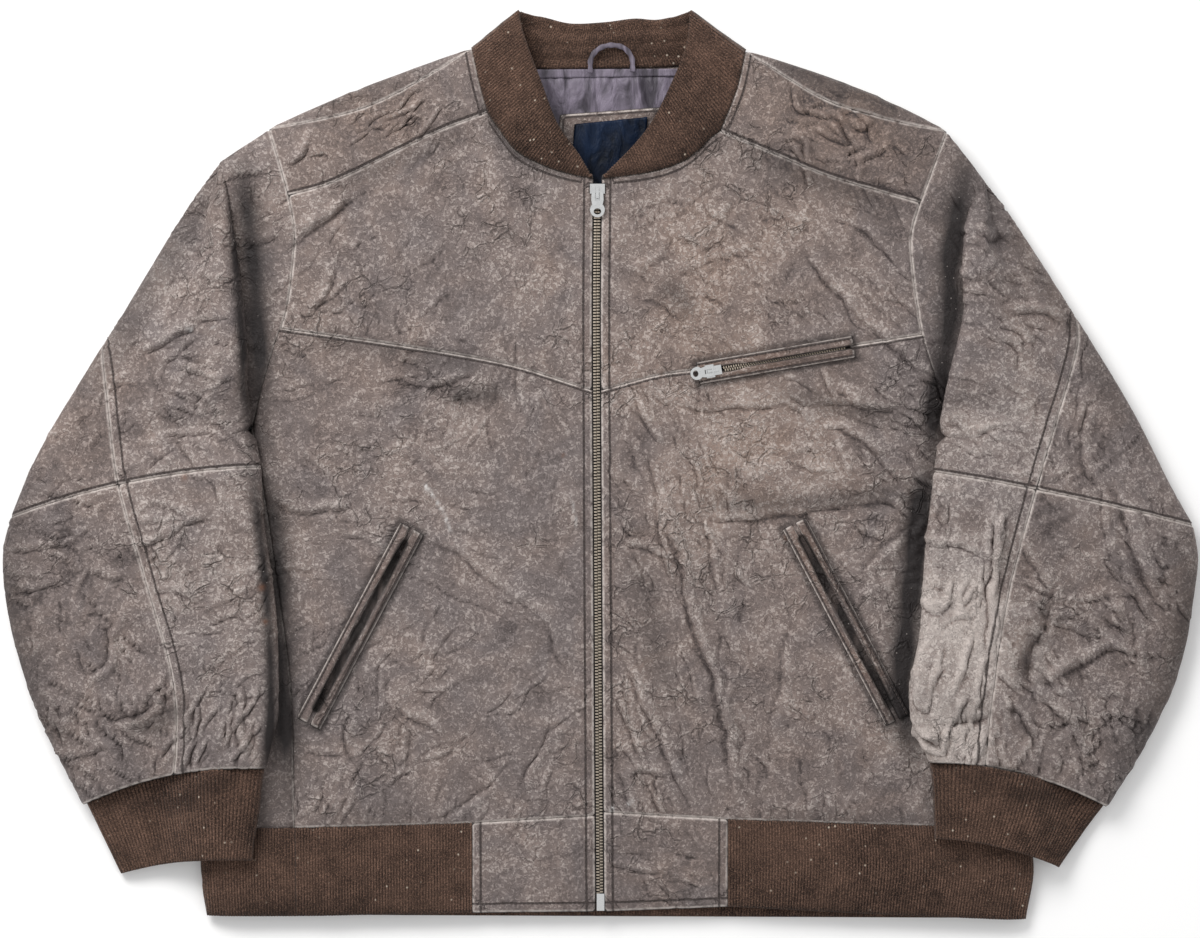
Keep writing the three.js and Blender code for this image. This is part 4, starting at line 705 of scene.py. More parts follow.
def cut(grid, seams="", stitched=()):
    """A grid with its points' distances to seams, and to the nearest line of stitches."""
    sides = seam_distances(grid)
    edge = np.full(grid.shape[:2], FAR)
    for side in seams:
        edge = np.minimum(edge, sides[side])
    groove = np.full(grid.shape[:2], FAR)
    for side, offset, *start in stitched:
        off = sides[side] - offset
        if start:
            off = np.where(np.linspace(0, 1, grid.shape[1]) > start[0], off, FAR)
        groove = np.where(np.abs(off) < np.abs(groove), off, groove)
    return Bundle(grid=grid, edge=edge, groove=groove)


def merged(cuts, turn):
    """Shared points, triangles and attributes of the surface that grids make together."""
    points = np.concatenate([c.grid.reshape(-1, 3) for c in cuts])
    edge = np.concatenate([c.edge.ravel() for c in cuts])
    groove = np.concatenate([c.groove.ravel() for c in cuts])
    keys = np.round(points * SHARED).astype(np.int64)
    _, first, place = np.unique(keys, axis=0, return_index=True, return_inverse=True)
    place = place.ravel()
    faces = []
    start = 0
    for c in cuts:
        rows, columns = c.grid.shape[:2]
        index = place[start:start + rows * columns].reshape(rows, columns)
        a, b, d, e = index[:-1, :-1], index[:-1, 1:], index[1:, :-1], index[1:, 1:]
        faces += [np.stack([a, b, e], -1).reshape(-1, 3), np.stack([a, e, d], -1).reshape(-1, 3)]
        start += rows * columns
    faces = np.concatenate(faces)
    whole = (faces[:, 0] != faces[:, 1]) & (faces[:, 1] != faces[:, 2]) & (faces[:, 2] != faces[:, 0])
    faces = faces[whole]
    if turn < 0:
        faces = faces[:, ::-1]
    least = np.full(len(first), FAR)
    np.minimum.at(least, place, edge)
    return points[first], faces, least, groove[first]


def normals_of(points, faces):
    a, b, c = (points[faces[:, k]] for k in range(3))
    flat = np.cross(b - a, c - a)
    total = np.zeros(points.shape)
    for axis in range(3):
        for k in range(3):
            total[:, axis] += np.bincount(faces[:, k], flat[:, axis], len(points))
    size = np.linalg.norm(total, axis=1, keepdims=True)
    return np.where(size > 1e-9, total / np.maximum(size, 1e-9), [0.0, 0.0, 1.0])


def shelled(points, normals, faces, thickness):
    """Points and triangles of a closed wall round a surface."""
    half = thickness / 2
    both = np.concatenate([points + normals * half, points - normals * half])
    count = len(points)
    edges = np.concatenate([faces[:, [0, 1]], faces[:, [1, 2]], faces[:, [2, 0]]])
    forward = edges[:, 0] * count + edges[:, 1]
    border = edges[~np.isin(edges[:, 1] * count + edges[:, 0], forward)]
    p, q = border[:, 0], border[:, 1]
    rim = [np.stack([q, p, p + count], 1), np.stack([q, p + count, q + count], 1)]
    return both, np.concatenate([faces, faces[:, ::-1] + count, *rim])


def new_object(name, points, edges, faces):
    """An object in the scene, from points in millimetres."""
    mesh = bpy.data.meshes.new(name)
    mesh.from_pydata((np.asarray(points, float) * MM).tolist(), edges, faces)
    obj = bpy.data.objects.new(name, mesh)
    bpy.context.scene.collection.objects.link(obj)
    return obj


def mesh_object(name, points, faces, material, attributes=None, smooth=True):
    """An object with no point below the floor; attributes are given for its points."""
    points = np.column_stack([points[:, :2], np.maximum(points[:, 2], 0.0)])
    obj = new_object(name, points, [], faces.tolist())
    mesh = obj.data
    for key, values in (attributes or {}).items():
        kind, field = ("FLOAT_VECTOR", "vector") if values.ndim == 2 else ("FLOAT", "value")
        layer = mesh.attributes.new(key, kind, "POINT")
        layer.data.foreach_set(field, values.ravel().astype(np.float32))
    mesh.polygons.foreach_set("use_smooth", np.full(len(mesh.polygons), smooth))
    mesh.materials.append(material)
    mesh.update()
    return obj


def belongs(obj, slot, *nodes, body=JACKET):
    """Attaches a finished piece to the body it rides on and hides the nodes that it stands for; its slot is
    not used.
    """
    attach(obj, body)
    if nodes:
        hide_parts(*nodes)


def leather_piece(name, cuts, turn, leather, tone=0.0, warm=0.0, amount=1.0, thickness=LEATHER,
                  slot="leather"):
    """A piece of worn leather: its cut, raised by its creases, puckered at its seams."""
    points, faces, edge, groove = merged(cuts, turn)
    normals = normals_of(points, faces)
    across_x, up_y = points[:, 0], points[:, 1]
    x = across_x + 0.5 * points[:, 2] * np.abs(normals[:, 0])
    y = up_y + 0.3 * points[:, 2]
    free = amount * ease((points[:, 2] - 4) / 7) * (0.3 + 0.7 * np.abs(normals[:, 2]))
    rough = relief(x, y, leather)
    rise = rough * free * (0.35 + 0.65 * ease(edge / 6))
    rise += free * 0.45 * noise(x, y, 5.5, 9) * np.exp(-edge / 6)
    rise += -0.9 * np.exp(-((edge / 1.6) ** 2)) * ease((points[:, 2] - 3) / 4)
    rise += 0.4 * np.exp(-(((edge - 3.2) / 2.0) ** 2)) * free
    slot_near = slot_depth(across_x, up_y) * (normals[:, 2] > 0.5)
    rise -= 2.2 * slot_near * (amount > 0)
    middle = points + normals * rise[:, None]
    new_normals = normals_of(middle, faces)
    both, shell = shelled(middle, new_normals, faces, thickness)
    traits = {
        "ridge": np.clip(rough * free / 1.8, -0.6, 1.2),
        "edge": edge,
        "groove": groove,
        "tone": tone + spots(x, up_y, PATCHES),
        "shade": shadow(x, up_y) * (normals[:, 2] > -0.2),
        "warm": warm + spots(x, up_y, PATCHES, 4),
        "chalk": chalk(across_x, up_y) * (normals[:, 2] > 0.3),
        "rust": spots(across_x, up_y, RUST) * (normals[:, 2] > 0.3),
        "slot": slot_near,
    }
    obj = mesh_object(name, both, shell, finish(slot), {k: np.tile(v, 2) for k, v in traits.items()})
    belongs(obj, slot, name)
    return Bundle(top=middle + new_normals * (thickness / 2), points=points)


def top_grid(piece, grid):
    """The finished outer surface of a piece at the points of one of its grids."""
    keys = np.round(piece.points * SHARED).astype(np.int64)
    wanted = np.round(grid.reshape(-1, 3) * SHARED).astype(np.int64)
    whole = np.concatenate([keys, wanted])
    _, place = np.unique(whole, axis=0, return_inverse=True)
    place = place.ravel()
    seat = np.zeros(place.max() + 1, int)
    seat[place[:len(keys)]] = np.arange(len(keys))
    return piece.top[seat[place[len(keys):]]].reshape(grid.shape)


def sew(piece, grid, side, offset, start=0.0, stop=1.0):
    """Adds a line of stitches at a distance in from one side of a grid."""
    top = top_grid(piece, grid)
    far = seam_distances(grid)[side]
    lines = range(grid.shape[0]) if side in "lr" else range(grid.shape[1])
    low, high = int(start * (len(lines) - 1)), int(stop * (len(lines) - 1)) + 1
    path = []
    for k in lines[low:high]:
        gap = far[k] if side in "lr" else far[:, k]
        row = top[k] if side in "lr" else top[:, k]
        order = np.argsort(gap)
        if gap.max() > offset:
            path.append([np.interp(offset, gap[order], row[order, axis]) for axis in range(3)])
    if len(path) > 2:
        SEWN.append(np.array(path) + [0, 0, 0.12])


# -------- shaders

def plug(tree, node, inputs):
    """Fills a node's sockets, by name or number, with values or with other nodes' sockets."""
    for key, value in inputs.items():
        if isinstance(value, bpy.types.NodeSocket):
            tree.links.new(value, node.inputs[key])
        else:
            node.inputs[key].default_value = value


def put(tree, kind, inputs=None, **settings):
    """Adds a node."""
    node = tree.nodes.new(kind)
    for key, value in settings.items():
        setattr(node, key, value)
    plug(tree, node, inputs or {})
    return node


def calc(tree, operation, *values, clamp=False):
    return put(tree, "ShaderNodeMath", dict(enumerate(values)), operation=operation,
               use_clamp=clamp).outputs[0]


def times(tree, a, b, clamp=False):
    return calc(tree, "MULTIPLY", a, b, clamp=clamp)


def blend(tree, share, a, b):
    ends = {k: v if isinstance(v, bpy.types.NodeSocket) else (*v, 1) for k, v in ((6, a), (7, b))}
    return put(tree, "ShaderNodeMix", {0: share, **ends}, data_type="RGBA").outputs[2]


def layered(tree, base, *layers):
    """A colour with others laid over it, given as (share, colour) from the lowest up."""
    for share, over in layers:
        base = blend(tree, share, base, over)
    return base


def scaled(rgb, by):
    return tuple(v * by for v in rgb)


def span(tree, value, low, high, to_low=0.0, to_high=1.0):
    return put(tree, "ShaderNodeMapRange", {0: value, 1: low, 2: high, 3: to_low, 4: to_high}).outputs[0]


def trait(tree, name):
    return put(tree, "ShaderNodeAttribute", attribute_name=name).outputs["Fac"]


def cloud(tree, where, scale, detail=4.0, roughness=0.55, distortion=0.0):
    inputs = {"Vector": where, "Scale": scale, "Detail": detail, "Roughness": roughness,
              "Distortion": distortion}
    return put(tree, "ShaderNodeTexNoise", inputs).outputs[0]


def cells(tree, where, scale, feature="F1"):
    return put(tree, "ShaderNodeTexVoronoi", {"Vector": where, "Scale": scale},
               feature=feature).outputs["Distance"]


def bumps(tree, *layers):
    """Bump from (height socket, distance in metres, strength) layers, laid over each other."""
    below = {}
    for height, distance, strength in layers:
        inputs = {"Height": height, "Distance": distance, "Strength": strength, **below}
        below = {"Normal": put(tree, "ShaderNodeBump", inputs).outputs[0]}
    return below["Normal"]


def new_material(name):
    material = bpy.data.materials.new(name)
    material.use_nodes = True
    tree = material.node_tree
    where = put(tree, "ShaderNodeTexCoord").outputs["Object"]
    return material, tree, tree.nodes["Principled BSDF"], where


def leather_material(name, leather, brown=None):
    """Worn pigskin: mottled, with curled pores, cracked creases, pale rubbed ridges, and painted shade in its
    creases and folds.
    """
    material, tree, shader, where = new_material(name)
    broad = cloud(tree, where, 17, 5, 0.6, 0.6)
    medium = cloud(tree, where, 62, 6, 0.68, 0.8)
    fine = cloud(tree, where, 420, 4, 0.7, 0.6)
    curls = cloud(tree, where, 400, 1, 0.4, 1.0)
    pores = span(tree, calc(tree, "ABSOLUTE", calc(tree, "SUBTRACT", curls, 0.5)), 0.045, 0.008)
    pores = times(tree, pores, span(tree, cloud(tree, where, 90, 2), 0.3, 0.5, 0.25, 1.0))
    # cracks run between cells whose edges are bent out of line
    stray = put(tree, "ShaderNodeTexNoise", {"Vector": where, "Scale": 34.0, "Detail": 3.0}).outputs["Color"]
    shift = put(tree, "ShaderNodeVectorMath", {0: stray, "Scale": 0.035}, operation="SCALE").outputs[0]
    bent = put(tree, "ShaderNodeVectorMath", {0: where, 1: shift}, operation="ADD").outputs[0]
    split = cells(tree, bent, 70, "DISTANCE_TO_EDGE")
    busy = times(tree, span(tree, cloud(tree, where, 13, 2), 0.46, 0.64),
                 span(tree, cloud(tree, bent, 45, 1), 0.46, 0.58))
    cracks = times(tree, span(tree, split, 0.035, 0.0), busy)
    rims = times(tree, times(tree, span(tree, split, 0.03, 0.1), span(tree, split, 0.2, 0.1)), busy)
    warm = calc(tree, "ADD", times(tree, trait(tree, "warm"), 0.6),
                span(tree, broad, 0.35, 0.7, -0.05, 0.6), clamp=True)
    ridge, edge = trait(tree, "ridge"), trait(tree, "edge")
    # lighter and darker: patches, mottling, grain, worn ridges, painted shade in the creases' troughs
    light = times(tree, trait(tree, "tone"), 0.3)
    for part in (
            span(tree, broad, 0.3, 0.7, -0.22, 0.2),
            span(tree, medium, 0.3, 0.7, -0.3, 0.26),
            span(tree, fine, 0.25, 0.75, -0.3, 0.3),
            span(tree, curls, 0.36, 0.66, -0.3, 0.26),
            times(tree, calc(tree, "MAXIMUM", ridge, 0.0), 0.24),
            # painted shade in the troughs of the creases
            times(tree, calc(tree, "MINIMUM", ridge, 0.0), 1.1),
            times(tree, rims, 0.3)):
        light = calc(tree, "ADD", light, part)
    light = calc(tree, "SUBTRACT", light, times(tree, cracks, 0.24))
    pale = calc(tree, "MAXIMUM", light, 0.0, clamp=True)
    dark = calc(tree, "MAXIMUM", times(tree, light, -1.0), 0.0, clamp=True)
    # a seam: rubbed pale beside it, dark along it and along its stitches
    rubbed = times(tree, span(tree, edge, 2.5, 1.0), span(tree, cloud(tree, where, 170, 3), 0.28, 0.54))
    sewn = span(tree, calc(tree, "ABSOLUTE", trait(tree, "groove")), 1.2, 0.3)
    # painted shade inside a pocket's slot, with a little of its flap
    flap = put(tree, "ShaderNodeMapping", {"Vector": where, "Scale": (1.0, 0.25, 1.0)}).outputs[0]
    inside = blend(tree, span(tree, cloud(tree, flap, 80, 1), 0.48, 0.62), shade(26, 21, 20),
                   shade(66, 57, 54))
    dust = span(tree, cells(tree, where, 120), 0.075, 0.03)
    surface = layered(
        tree, leather.grey,
        (warm, brown or leather.brown),
        (times(tree, pale, 0.7), leather.pale),
        (times(tree, dark, 0.95), leather.dark),
        (times(tree, pores, 0.5), leather.dark),
        (times(tree, rubbed, 0.82), leather.pale),
        (times(tree, sewn, 0.85), leather.dark),
        # painted shade in strips by the sleeves, edges and pockets, then the dark line along each seam's edge
        (times(tree, trait(tree, "shade"), 0.62, clamp=True), leather.darkening),
        (times(tree, span(tree, edge, 0.8, 0.2), 0.9), leather.darkening),
        (span(tree, trait(tree, "slot"), 0.35, 0.8, 0, 0.95), inside),
        (times(tree, trait(tree, "chalk"), 0.85, clamp=True), shade(226, 224, 222)),
        (times(tree, trait(tree, "rust"), 0.55, clamp=True), shade(112, 70, 44)),
        (times(tree, dust, 0.45), leather.pale),
    )
    normal = bumps(
        tree,
        (medium, 0.0022, 0.6),
        (calc(tree, "SUBTRACT", rims, cracks), 0.0014, 0.8),
        (fine, 0.0004, 0.5),
        (curls, 0.0009, 0.7),
        (times(tree, sewn, -1.0), 0.0009, 0.9),
        (times(tree, pores, -1.0), 0.0005, 0.6),
    )
    plug(tree, shader, {
        "Base Color": surface, "Roughness": span(tree, medium, 0.3, 0.7, 0.7, 0.52),
        "Specular IOR Level": 0.3, "Normal": normal})
    return material


def knit_material(name, knit):
    """Ribbed wool: dark with painted shade between its ribs, fuzzy, with specks of lint."""
    material, tree, shader, where = new_material(name)
    broad = cloud(tree, where, 20, 4, 0.6)
    fuzz = cloud(tree, where, 900, 3, 0.7)
    soft = cloud(tree, where, 70, 4, 0.6)
    lint = times(tree, span(tree, cells(tree, where, 105), 0.12, 0.05),
                 span(tree, cloud(tree, where, 26, 1), 0.42, 0.56))
    # the channels between the ribs take the dark colour: painted shade
    base = layered(
        tree, knit.dark,
        (span(tree, trait(tree, "rib"), 0.3, 0.95), knit.brown),
        (span(tree, soft, 0.3, 0.64, 0.92, 0), knit.dark),
        (span(tree, broad, 0.35, 0.7, 0, 0.35), scaled(knit.brown, 1.6)),
        (span(tree, fuzz, 0.35, 0.7, 0, 0.72), knit.dark),
        (span(tree, fuzz, 0.5, 0.3, 0, 0.6), scaled(knit.brown, 2.2)),
        (times(tree, trait(tree, "shade"), 0.6, clamp=True), knit.dark),
        (times(tree, lint, 0.8), knit.lint),
    )
    normal = bumps(tree, (fuzz, 0.0006, 0.7), (cloud(tree, where, 300, 2), 0.0006, 0.4))
    plug(tree, shader, {
        "Base Color": base, "Roughness": 0.93, "Specular IOR Level": 0.15, "Sheen Weight": 0.12,
        "Normal": normal})
    return material


def satin_material(name, rgb, gloss=0.3):
    """Thin woven satin, with painted shade in its small folds and a painted highlight on their crests."""
    material, tree, shader, where = new_material(name)
    drawn_out = put(tree, "ShaderNodeMapping", {
        "Vector": where, "Rotation": (0.0, 0.0, 0.2), "Scale": (1.0, 0.3, 1.0)}).outputs[0]
    folds = cloud(tree, drawn_out, 75, 4, 0.6, 0.8)
    weave = cloud(tree, where, 1400, 2)
    # painted shade in the small folds and a painted highlight on their crests, as darker and lighter copies
    # of the colour
    base = layered(
        tree, scaled(rgb, 0.34),
        (span(tree, folds, 0.38, 0.62), scaled(rgb, 1.7)),
        (span(tree, weave, 0.3, 0.7, 0, 0.3), scaled(rgb, 0.6)),
    )
    plug(tree, shader, {
        "Base Color": base, "Roughness": 0.5, "Specular IOR Level": gloss,
        "Normal": bumps(tree, (folds, 0.004, 0.9), (weave, 0.0002, 0.4))})
    return material


def metal_material(name, rgb, roughness, darkening=0.3):
    """Plated metal, a little scratched, with patches of grime and painted shade on its steep faces."""
    material, tree, shader, where = new_material(name)
    rough = cloud(tree, where, 300, 4, 0.6)
    grime = cloud(tree, where, 700, 3)
    base = layered(
        tree, rgb,
        (span(tree, grime, 0.55, 0.75, 0, darkening), scaled(rgb, 0.25)),
        # steep faces darkened: painted shade
        (span(tree, trait(tree, "steep"), 0.08, 0.5, 0, 0.97), scaled(rgb, 0.08)),
    )
    plug(tree, shader, {
        "Base Color": base, "Metallic": 1.0,
        "Roughness": span(tree, rough, 0.3, 0.7, roughness * 0.8, roughness * 1.3),
        "Normal": bumps(tree, (rough, 0.0001, 0.3))})
    return material


def plain_material(name, rgb, roughness, scale):
    """Cloth tape or thread, with a fine uneven weave."""
    material, tree, shader, where = new_material(name)
    weave = cloud(tree, where, scale, 3, 0.6)
    plug(tree, shader, {
        "Base Color": blend(tree, span(tree, weave, 0.3, 0.7), scaled(rgb, 0.7), scaled(rgb, 1.3)),
        "Roughness": roughness, "Normal": bumps(tree, (weave, 0.0003, 0.4))})
    return material


MATERIALS = {}


def finish(name):
    """The material of that name, made the first time it is asked for."""
    if name in MATERIALS:
        return MATERIALS[name]
    scene = bpy.context.scene
    leather, knit, trim = scene.jacket_leather, scene.jacket_knit, scene.jacket_trim
    makers = {
        "leather": lambda: leather_material("worn_leather", leather),
        "leather_trim": lambda: leather_material("brown_leather_trim", leather, trim.welt),
        "knit": lambda: knit_material("ribbed_knit", knit),
        "lining": lambda: satin_material("satin_lining", trim.lining),
        "label": lambda: satin_material("bare_label", trim.label, 0.12),
        "tape": lambda: plain_material("zip_tape", trim.tape, 0.9, 900),
        "thread": lambda: plain_material("thread", trim.thread, 0.8, 1500),
        "teeth": lambda: metal_material("zip_teeth", trim.teeth, 0.42, 0.6),
        "nickel": lambda: metal_material("nickel", trim.nickel, 0.24, 0.25),
    }
    MATERIALS[name] = makers[name]()
    return MATERIALS[name]


# -------- Geometry Nodes

def new_tree(name, inputs):
    """A node tree that takes and gives geometry, with named inputs, and their identifiers."""
    tree = bpy.data.node_groups.new(name, "GeometryNodeTree")
    tree.interface.new_socket("Geometry", in_out="INPUT", socket_type="NodeSocketGeometry")
    tree.interface.new_socket("Geometry", in_out="OUTPUT", socket_type="NodeSocketGeometry")
    for label, kind in {**inputs, "Material": "NodeSocketMaterial"}.items():
        tree.interface.new_socket(label, in_out="INPUT", socket_type=kind)
    ids = {i.name: i.identifier for i in tree.interface.items_tree if i.in_out == "INPUT"}
    return tree, ids, tree.nodes.new("NodeGroupInput").outputs


def end_tree(tree, geometry, given):
    """Ends a tree in real geometry with its material set."""
    real = put(tree, "GeometryNodeRealizeInstances", {0: geometry})
    coloured = put(tree, "GeometryNodeSetMaterial",
                   {"Geometry": real.outputs[0], "Material": given["Material"]})
    put(tree, "NodeGroupOutput", {0: coloured.outputs[0]})


def repeat_tree():
    """Sets an item at even steps along each line, turned to follow it."""
    tree, ids, given = new_tree("repeat_along_line", {"Item": "NodeSocketObject", "Pitch": "NodeSocketFloat"})
    curve = put(tree, "GeometryNodeMeshToCurve", {"Mesh": given["Geometry"]})
    steps = put(tree, "GeometryNodeResampleCurve", {"Curve": curve.outputs[0], "Length": given["Pitch"]},
                mode="LENGTH")
    item = put(tree, "GeometryNodeObjectInfo", {"Object": given["Item"]})
    tangent = put(tree, "GeometryNodeInputTangent")
    turned = put(tree, "FunctionNodeAlignRotationToVector", {"Vector": tangent.outputs[0]}, axis="X",
                 pivot_axis="AUTO")
    placed = put(tree, "GeometryNodeInstanceOnPoints", {
        "Points": steps.outputs[0], "Instance": item.outputs["Geometry"], "Rotation": turned.outputs[0]})
    end_tree(tree, placed.outputs[0], given)
    return tree, ids


def rib_tree():
    """Raises ribs out of a knitted wall, and keeps how high each point is as an attribute."""
    tree, ids, given = new_tree("knit_ribs", {"Pitch": "NodeSocketFloat", "Depth": "NodeSocketFloat"})
    course = put(tree, "GeometryNodeInputNamedAttribute", {"Name": "course"}, data_type="FLOAT")
    out = put(tree, "GeometryNodeInputNamedAttribute", {"Name": "out"}, data_type="FLOAT_VECTOR")
    turns = calc(tree, "DIVIDE", course.outputs[0], given["Pitch"])
    wave = calc(tree, "ABSOLUTE", calc(tree, "SINE", times(tree, turns, float(np.pi))))
    height = calc(tree, "POWER", wave, 0.7)
    kept = put(tree, "GeometryNodeStoreNamedAttribute", {
        "Geometry": given["Geometry"], "Name": "rib", "Value": height}, data_type="FLOAT", domain="POINT")
    rise = times(tree, calc(tree, "SUBTRACT", height, 0.6), given["Depth"])
    offset = put(tree, "ShaderNodeVectorMath", {0: out.outputs[0], "Scale": rise}, operation="SCALE")
    moved = put(tree, "GeometryNodeSetPosition", {"Geometry": kept.outputs[0], "Offset": offset.outputs[0]})
    end_tree(tree, moved.outputs[0], given)
    return tree, ids


def baked(obj, tree, ids, values, material):
    """Runs a node tree on an object once, and leaves its result as a plain mesh."""
    modifier = obj.modifiers.new(tree.name, "NODES")
    modifier.node_group = tree
    for label, value in {**values, "Material": material}.items():
        modifier[ids[label]] = value
    bpy.context.view_layer.update()
    graph = bpy.context.evaluated_depsgraph_get()
    mesh = bpy.data.meshes.new_from_object(obj.evaluated_get(graph))
    obj.modifiers.remove(modifier)
    obj.data = mesh
    if not mesh.materials:
        mesh.materials.append(material)


def repeated(name, lines, item, pitch, material):
    """One piece made of an item repeated along lines of points in millimetres."""
    edges = []
    start = 0
    for line in lines:
        edges += [(start + k, start + k + 1) for k in range(len(line) - 1)]
        start += len(line)
    obj = new_object(name, np.concatenate(lines), edges, [])
    tree, ids = repeat_tree()
    baked(obj, tree, ids, {"Item": item, "Pitch": pitch}, material)
    obj.data.polygons.foreach_set("use_smooth", np.full(len(obj.data.polygons), True))
    bpy.data.objects.remove(item)
    return obj


def stitch_item(stations):
    """A closed form along X from (x, half width, half height, lift) stations, for repeating."""
    sides = 6
    turn = np.linspace(0, 2 * np.pi, sides, endpoint=False)
    points = [(stations[0][0], 0, stations[0][3])]
    for x, wide, high, lift in stations[1:-1]:
        points += [(x, wide * np.cos(t), lift + high * np.sin(t)) for t in turn]
    points.append((stations[-1][0], 0, stations[-1][3]))
    rings = len(stations) - 2
    faces = [(0, 1 + (k + 1) % sides, 1 + k) for k in range(sides)]
    for r in range(rings - 1):
        a, b = 1 + r * sides, 1 + (r + 1) * sides
        for k in range(sides):
            n = (k + 1) % sides
            faces += [(a + k, a + n, b + n), (a + k, b + n, b + k)]
    last, a = len(points) - 1, 1 + (rings - 1) * sides
    faces += [(last, a + k, a + (k + 1) % sides) for k in range(sides)]
    return new_object("stitch", points, [], faces)


# -------- the fronts

def cells_for(length, cell):
    return max(2, int(round(length / cell)))


def front_grids(s):
    """Plan grids of the yoke, chest and lower front, from the side to the zip and from hem to neck."""
    arm = armhole(s)
    unit = ARM_FINE
    yoke_cells, neck_cells = 82, 52
    neck = along([*s.neck_lower[:-1], zip_point(s, NECK_FRONT)], neck_cells)
    yoke = along(s.yoke_seam, yoke_cells)
    chest = along([*s.chest_seam[:-1], zip_point(s, ZIP_JOIN)], yoke_cells + neck_cells)
    arm_up = arm[3 * unit:7 * unit + 1]
    side = joined(side_line(s, s.hem_y.side, s.underarm, 144), arm[:3 * unit + 1])
    hem = hem_line(s, s.hem_y, 78, 56)
    return Bundle(
        yoke=coons(yoke, along(s.shoulder_seam, yoke_cells), arm[7 * unit:], along(s.neck_upper, 3 * unit)),
        chest=coons(chest, joined(yoke, neck), arm_up, zip_edge(s, ZIP_JOIN, NECK_FRONT, len(arm_up) - 1)),
        lower=coons(hem, chest, side, zip_edge(s, s.hem_y.zip, ZIP_JOIN, len(side) - 1)),
        yoke_share=yoke_cells / (yoke_cells + neck_cells),
    )


def make_front(s, leather):
    plan = front_grids(s)
    turn = -s.sign
    seam, topstitch, placket = 2.6, 6.0, 7.0
    yoke = lifted(plan.yoke, front_z)
    piece = leather_piece(f"front_yoke_{s.letter}", [cut(yoke, "btlr", [("b", seam), ("r", topstitch)])],
                          turn, leather, tone=-0.35, warm=0.2)
    sew(piece, yoke, "b", seam)
    sew(piece, yoke, "r", topstitch)
    chest = lifted(plan.chest, front_z)
    stitched = [("r", placket), ("t", topstitch, plan.yoke_share)]
    piece = leather_piece(f"front_chest_{s.letter}", [cut(chest, "btlr", stitched)], turn, leather, warm=0.1)
    sew(piece, chest, "r", placket, 0.0, 0.97)
    sew(piece, chest, "t", topstitch, plan.yoke_share + 0.02, 0.97)
    lower = lifted(plan.lower, front_z)
    piece = leather_piece(f"front_lower_{s.letter}", [cut(lower, "btr", [("t", seam), ("r", placket)])],
                          turn, leather, tone=-0.1)
    sew(piece, lower, "t", seam)
    sew(piece, lower, "r", placket)
    tab_cells, tab_rows = 46, 34
    top = along([(s.tab_x, s.hem_y.tab), zip_point(s, s.hem_y.zip)], tab_cells)
    low = along([(s.tab_x, s.bottom_y.tab), zip_point(s, s.bottom_y.zip)], tab_cells)
    side = along([(s.tab_x, s.bottom_y.tab), (s.tab_x, s.hem_y.tab)], tab_rows)
    tab = lifted(coons(low, top, side, zip_edge(s, s.bottom_y.zip, s.hem_y.zip, tab_rows)), front_z)
    stitched = [("b", placket), ("l", placket), ("r", placket)]
    piece = leather_piece(f"hem_tab_{s.letter}", [cut(tab, "btlr", stitched)], turn, leather,
                          tone=-0.1 if s.sign < 0 else -0.3)
    sew(piece, tab, "b", placket, 0.06, 0.94)
    sew(piece, tab, "l", placket, 0.08)
    sew(piece, tab, "r", placket, 0.08)


# -------- the back

def flank_row(s, y):
    """One turn of the back's cloth: side seam on top, round the side, to where it lies flat."""
    over, under = 12, 5
    outer = float(keyed(s.edge, y))
    depth = (outer - float(keyed(s.side_seam, y))) * s.sign
    radius = BACK_ROLL * float(ease((s.underarm - y) / 50))
    turn = np.linspace(0, 3 * np.pi / 8, over + 1)
    x = outer - s.sign * depth * (1 - np.sin(turn) / np.sin(turn[-1]))
    top = np.stack([x, np.full(over + 1, y), front_z(x, np.full(over + 1, y))], 1)
    top[-1, 2] = float(level(y)) / 2
    q = np.linspace(0, 1, under + 1)[1:]
    low = np.stack([outer - s.sign * radius * q, np.full(under, y), back_z(radius * q, y, radius)], 1)
    return np.vstack([top, low])


BACK_NECK = [*LEFT.back_neck, *RIGHT.back_neck[::-1][1:]]
BACK_COLUMNS = 80
BACK_NECK_COLUMNS = 30
BACK_SHOULDER_COLUMNS = 25


def hoops_between(low, high, rows):
    """Turns of cloth from side seam to side seam, round the back, between two (left, right) heights."""
    hoops = []
    for share in np.linspace(0, 1, rows + 1):
        left, right = (flank_row(s, mix(a, b, share)) for s, a, b in zip(HALVES, low, high))
        right = right[::-1]
        t = np.linspace(0, 1, BACK_COLUMNS + 1)[1:-1, None]
        flat = left[-1] + (right[0] - left[-1]) * t
        flat[:, 2] = BACK_LEVEL
        hoops.append(np.vstack([left, flat, right]))
    return hoops


def inset_shoulder(s):
    line = along(s.shoulder, BACK_SHOULDER_COLUMNS)
    share = np.linspace(0, 1, len(line))
    inner = roll(share / 0.15) * roll((1 - share) / 0.15)
    z = mix(level(line[:, 1]) / 2, BACK_LEVEL, inner)
    return np.stack([line[:, 0], line[:, 1] - BACK_ROLL * inner, z], 1)


def shoulder_roll(s, inset):
    seam = along(s.shoulder_seam, BACK_SHOULDER_COLUMNS)
    outline = along(s.shoulder, BACK_SHOULDER_COLUMNS)
    middle = level(outline[:, 1]) / 2
    rows = [inset]
    for t in (0.35, 0.7, 0.9):
        plan = mix(inset[:, :2], outline, t)
        rows.append(np.column_stack([plan, mix(inset[:, 2], middle, 1 - np.sqrt(1 - t * t))]))
    rows.append(np.column_stack([outline, middle]))
    for t in np.linspace(0, 1, 9)[1:]:
        plan = mix(outline, seam, t)
        rows.append(np.column_stack([plan, front_z(*plan.T)]))
    return np.array(rows)


def back_armhole(s):
    line = armhole(s, 6)
    end = roll((line[:, 1] - s.underarm) / 18) * roll((s.tip - line[:, 1]) / 18)
    return np.column_stack([line, mix(level(line[:, 1]) / 2, BACK_LEVEL, end)])


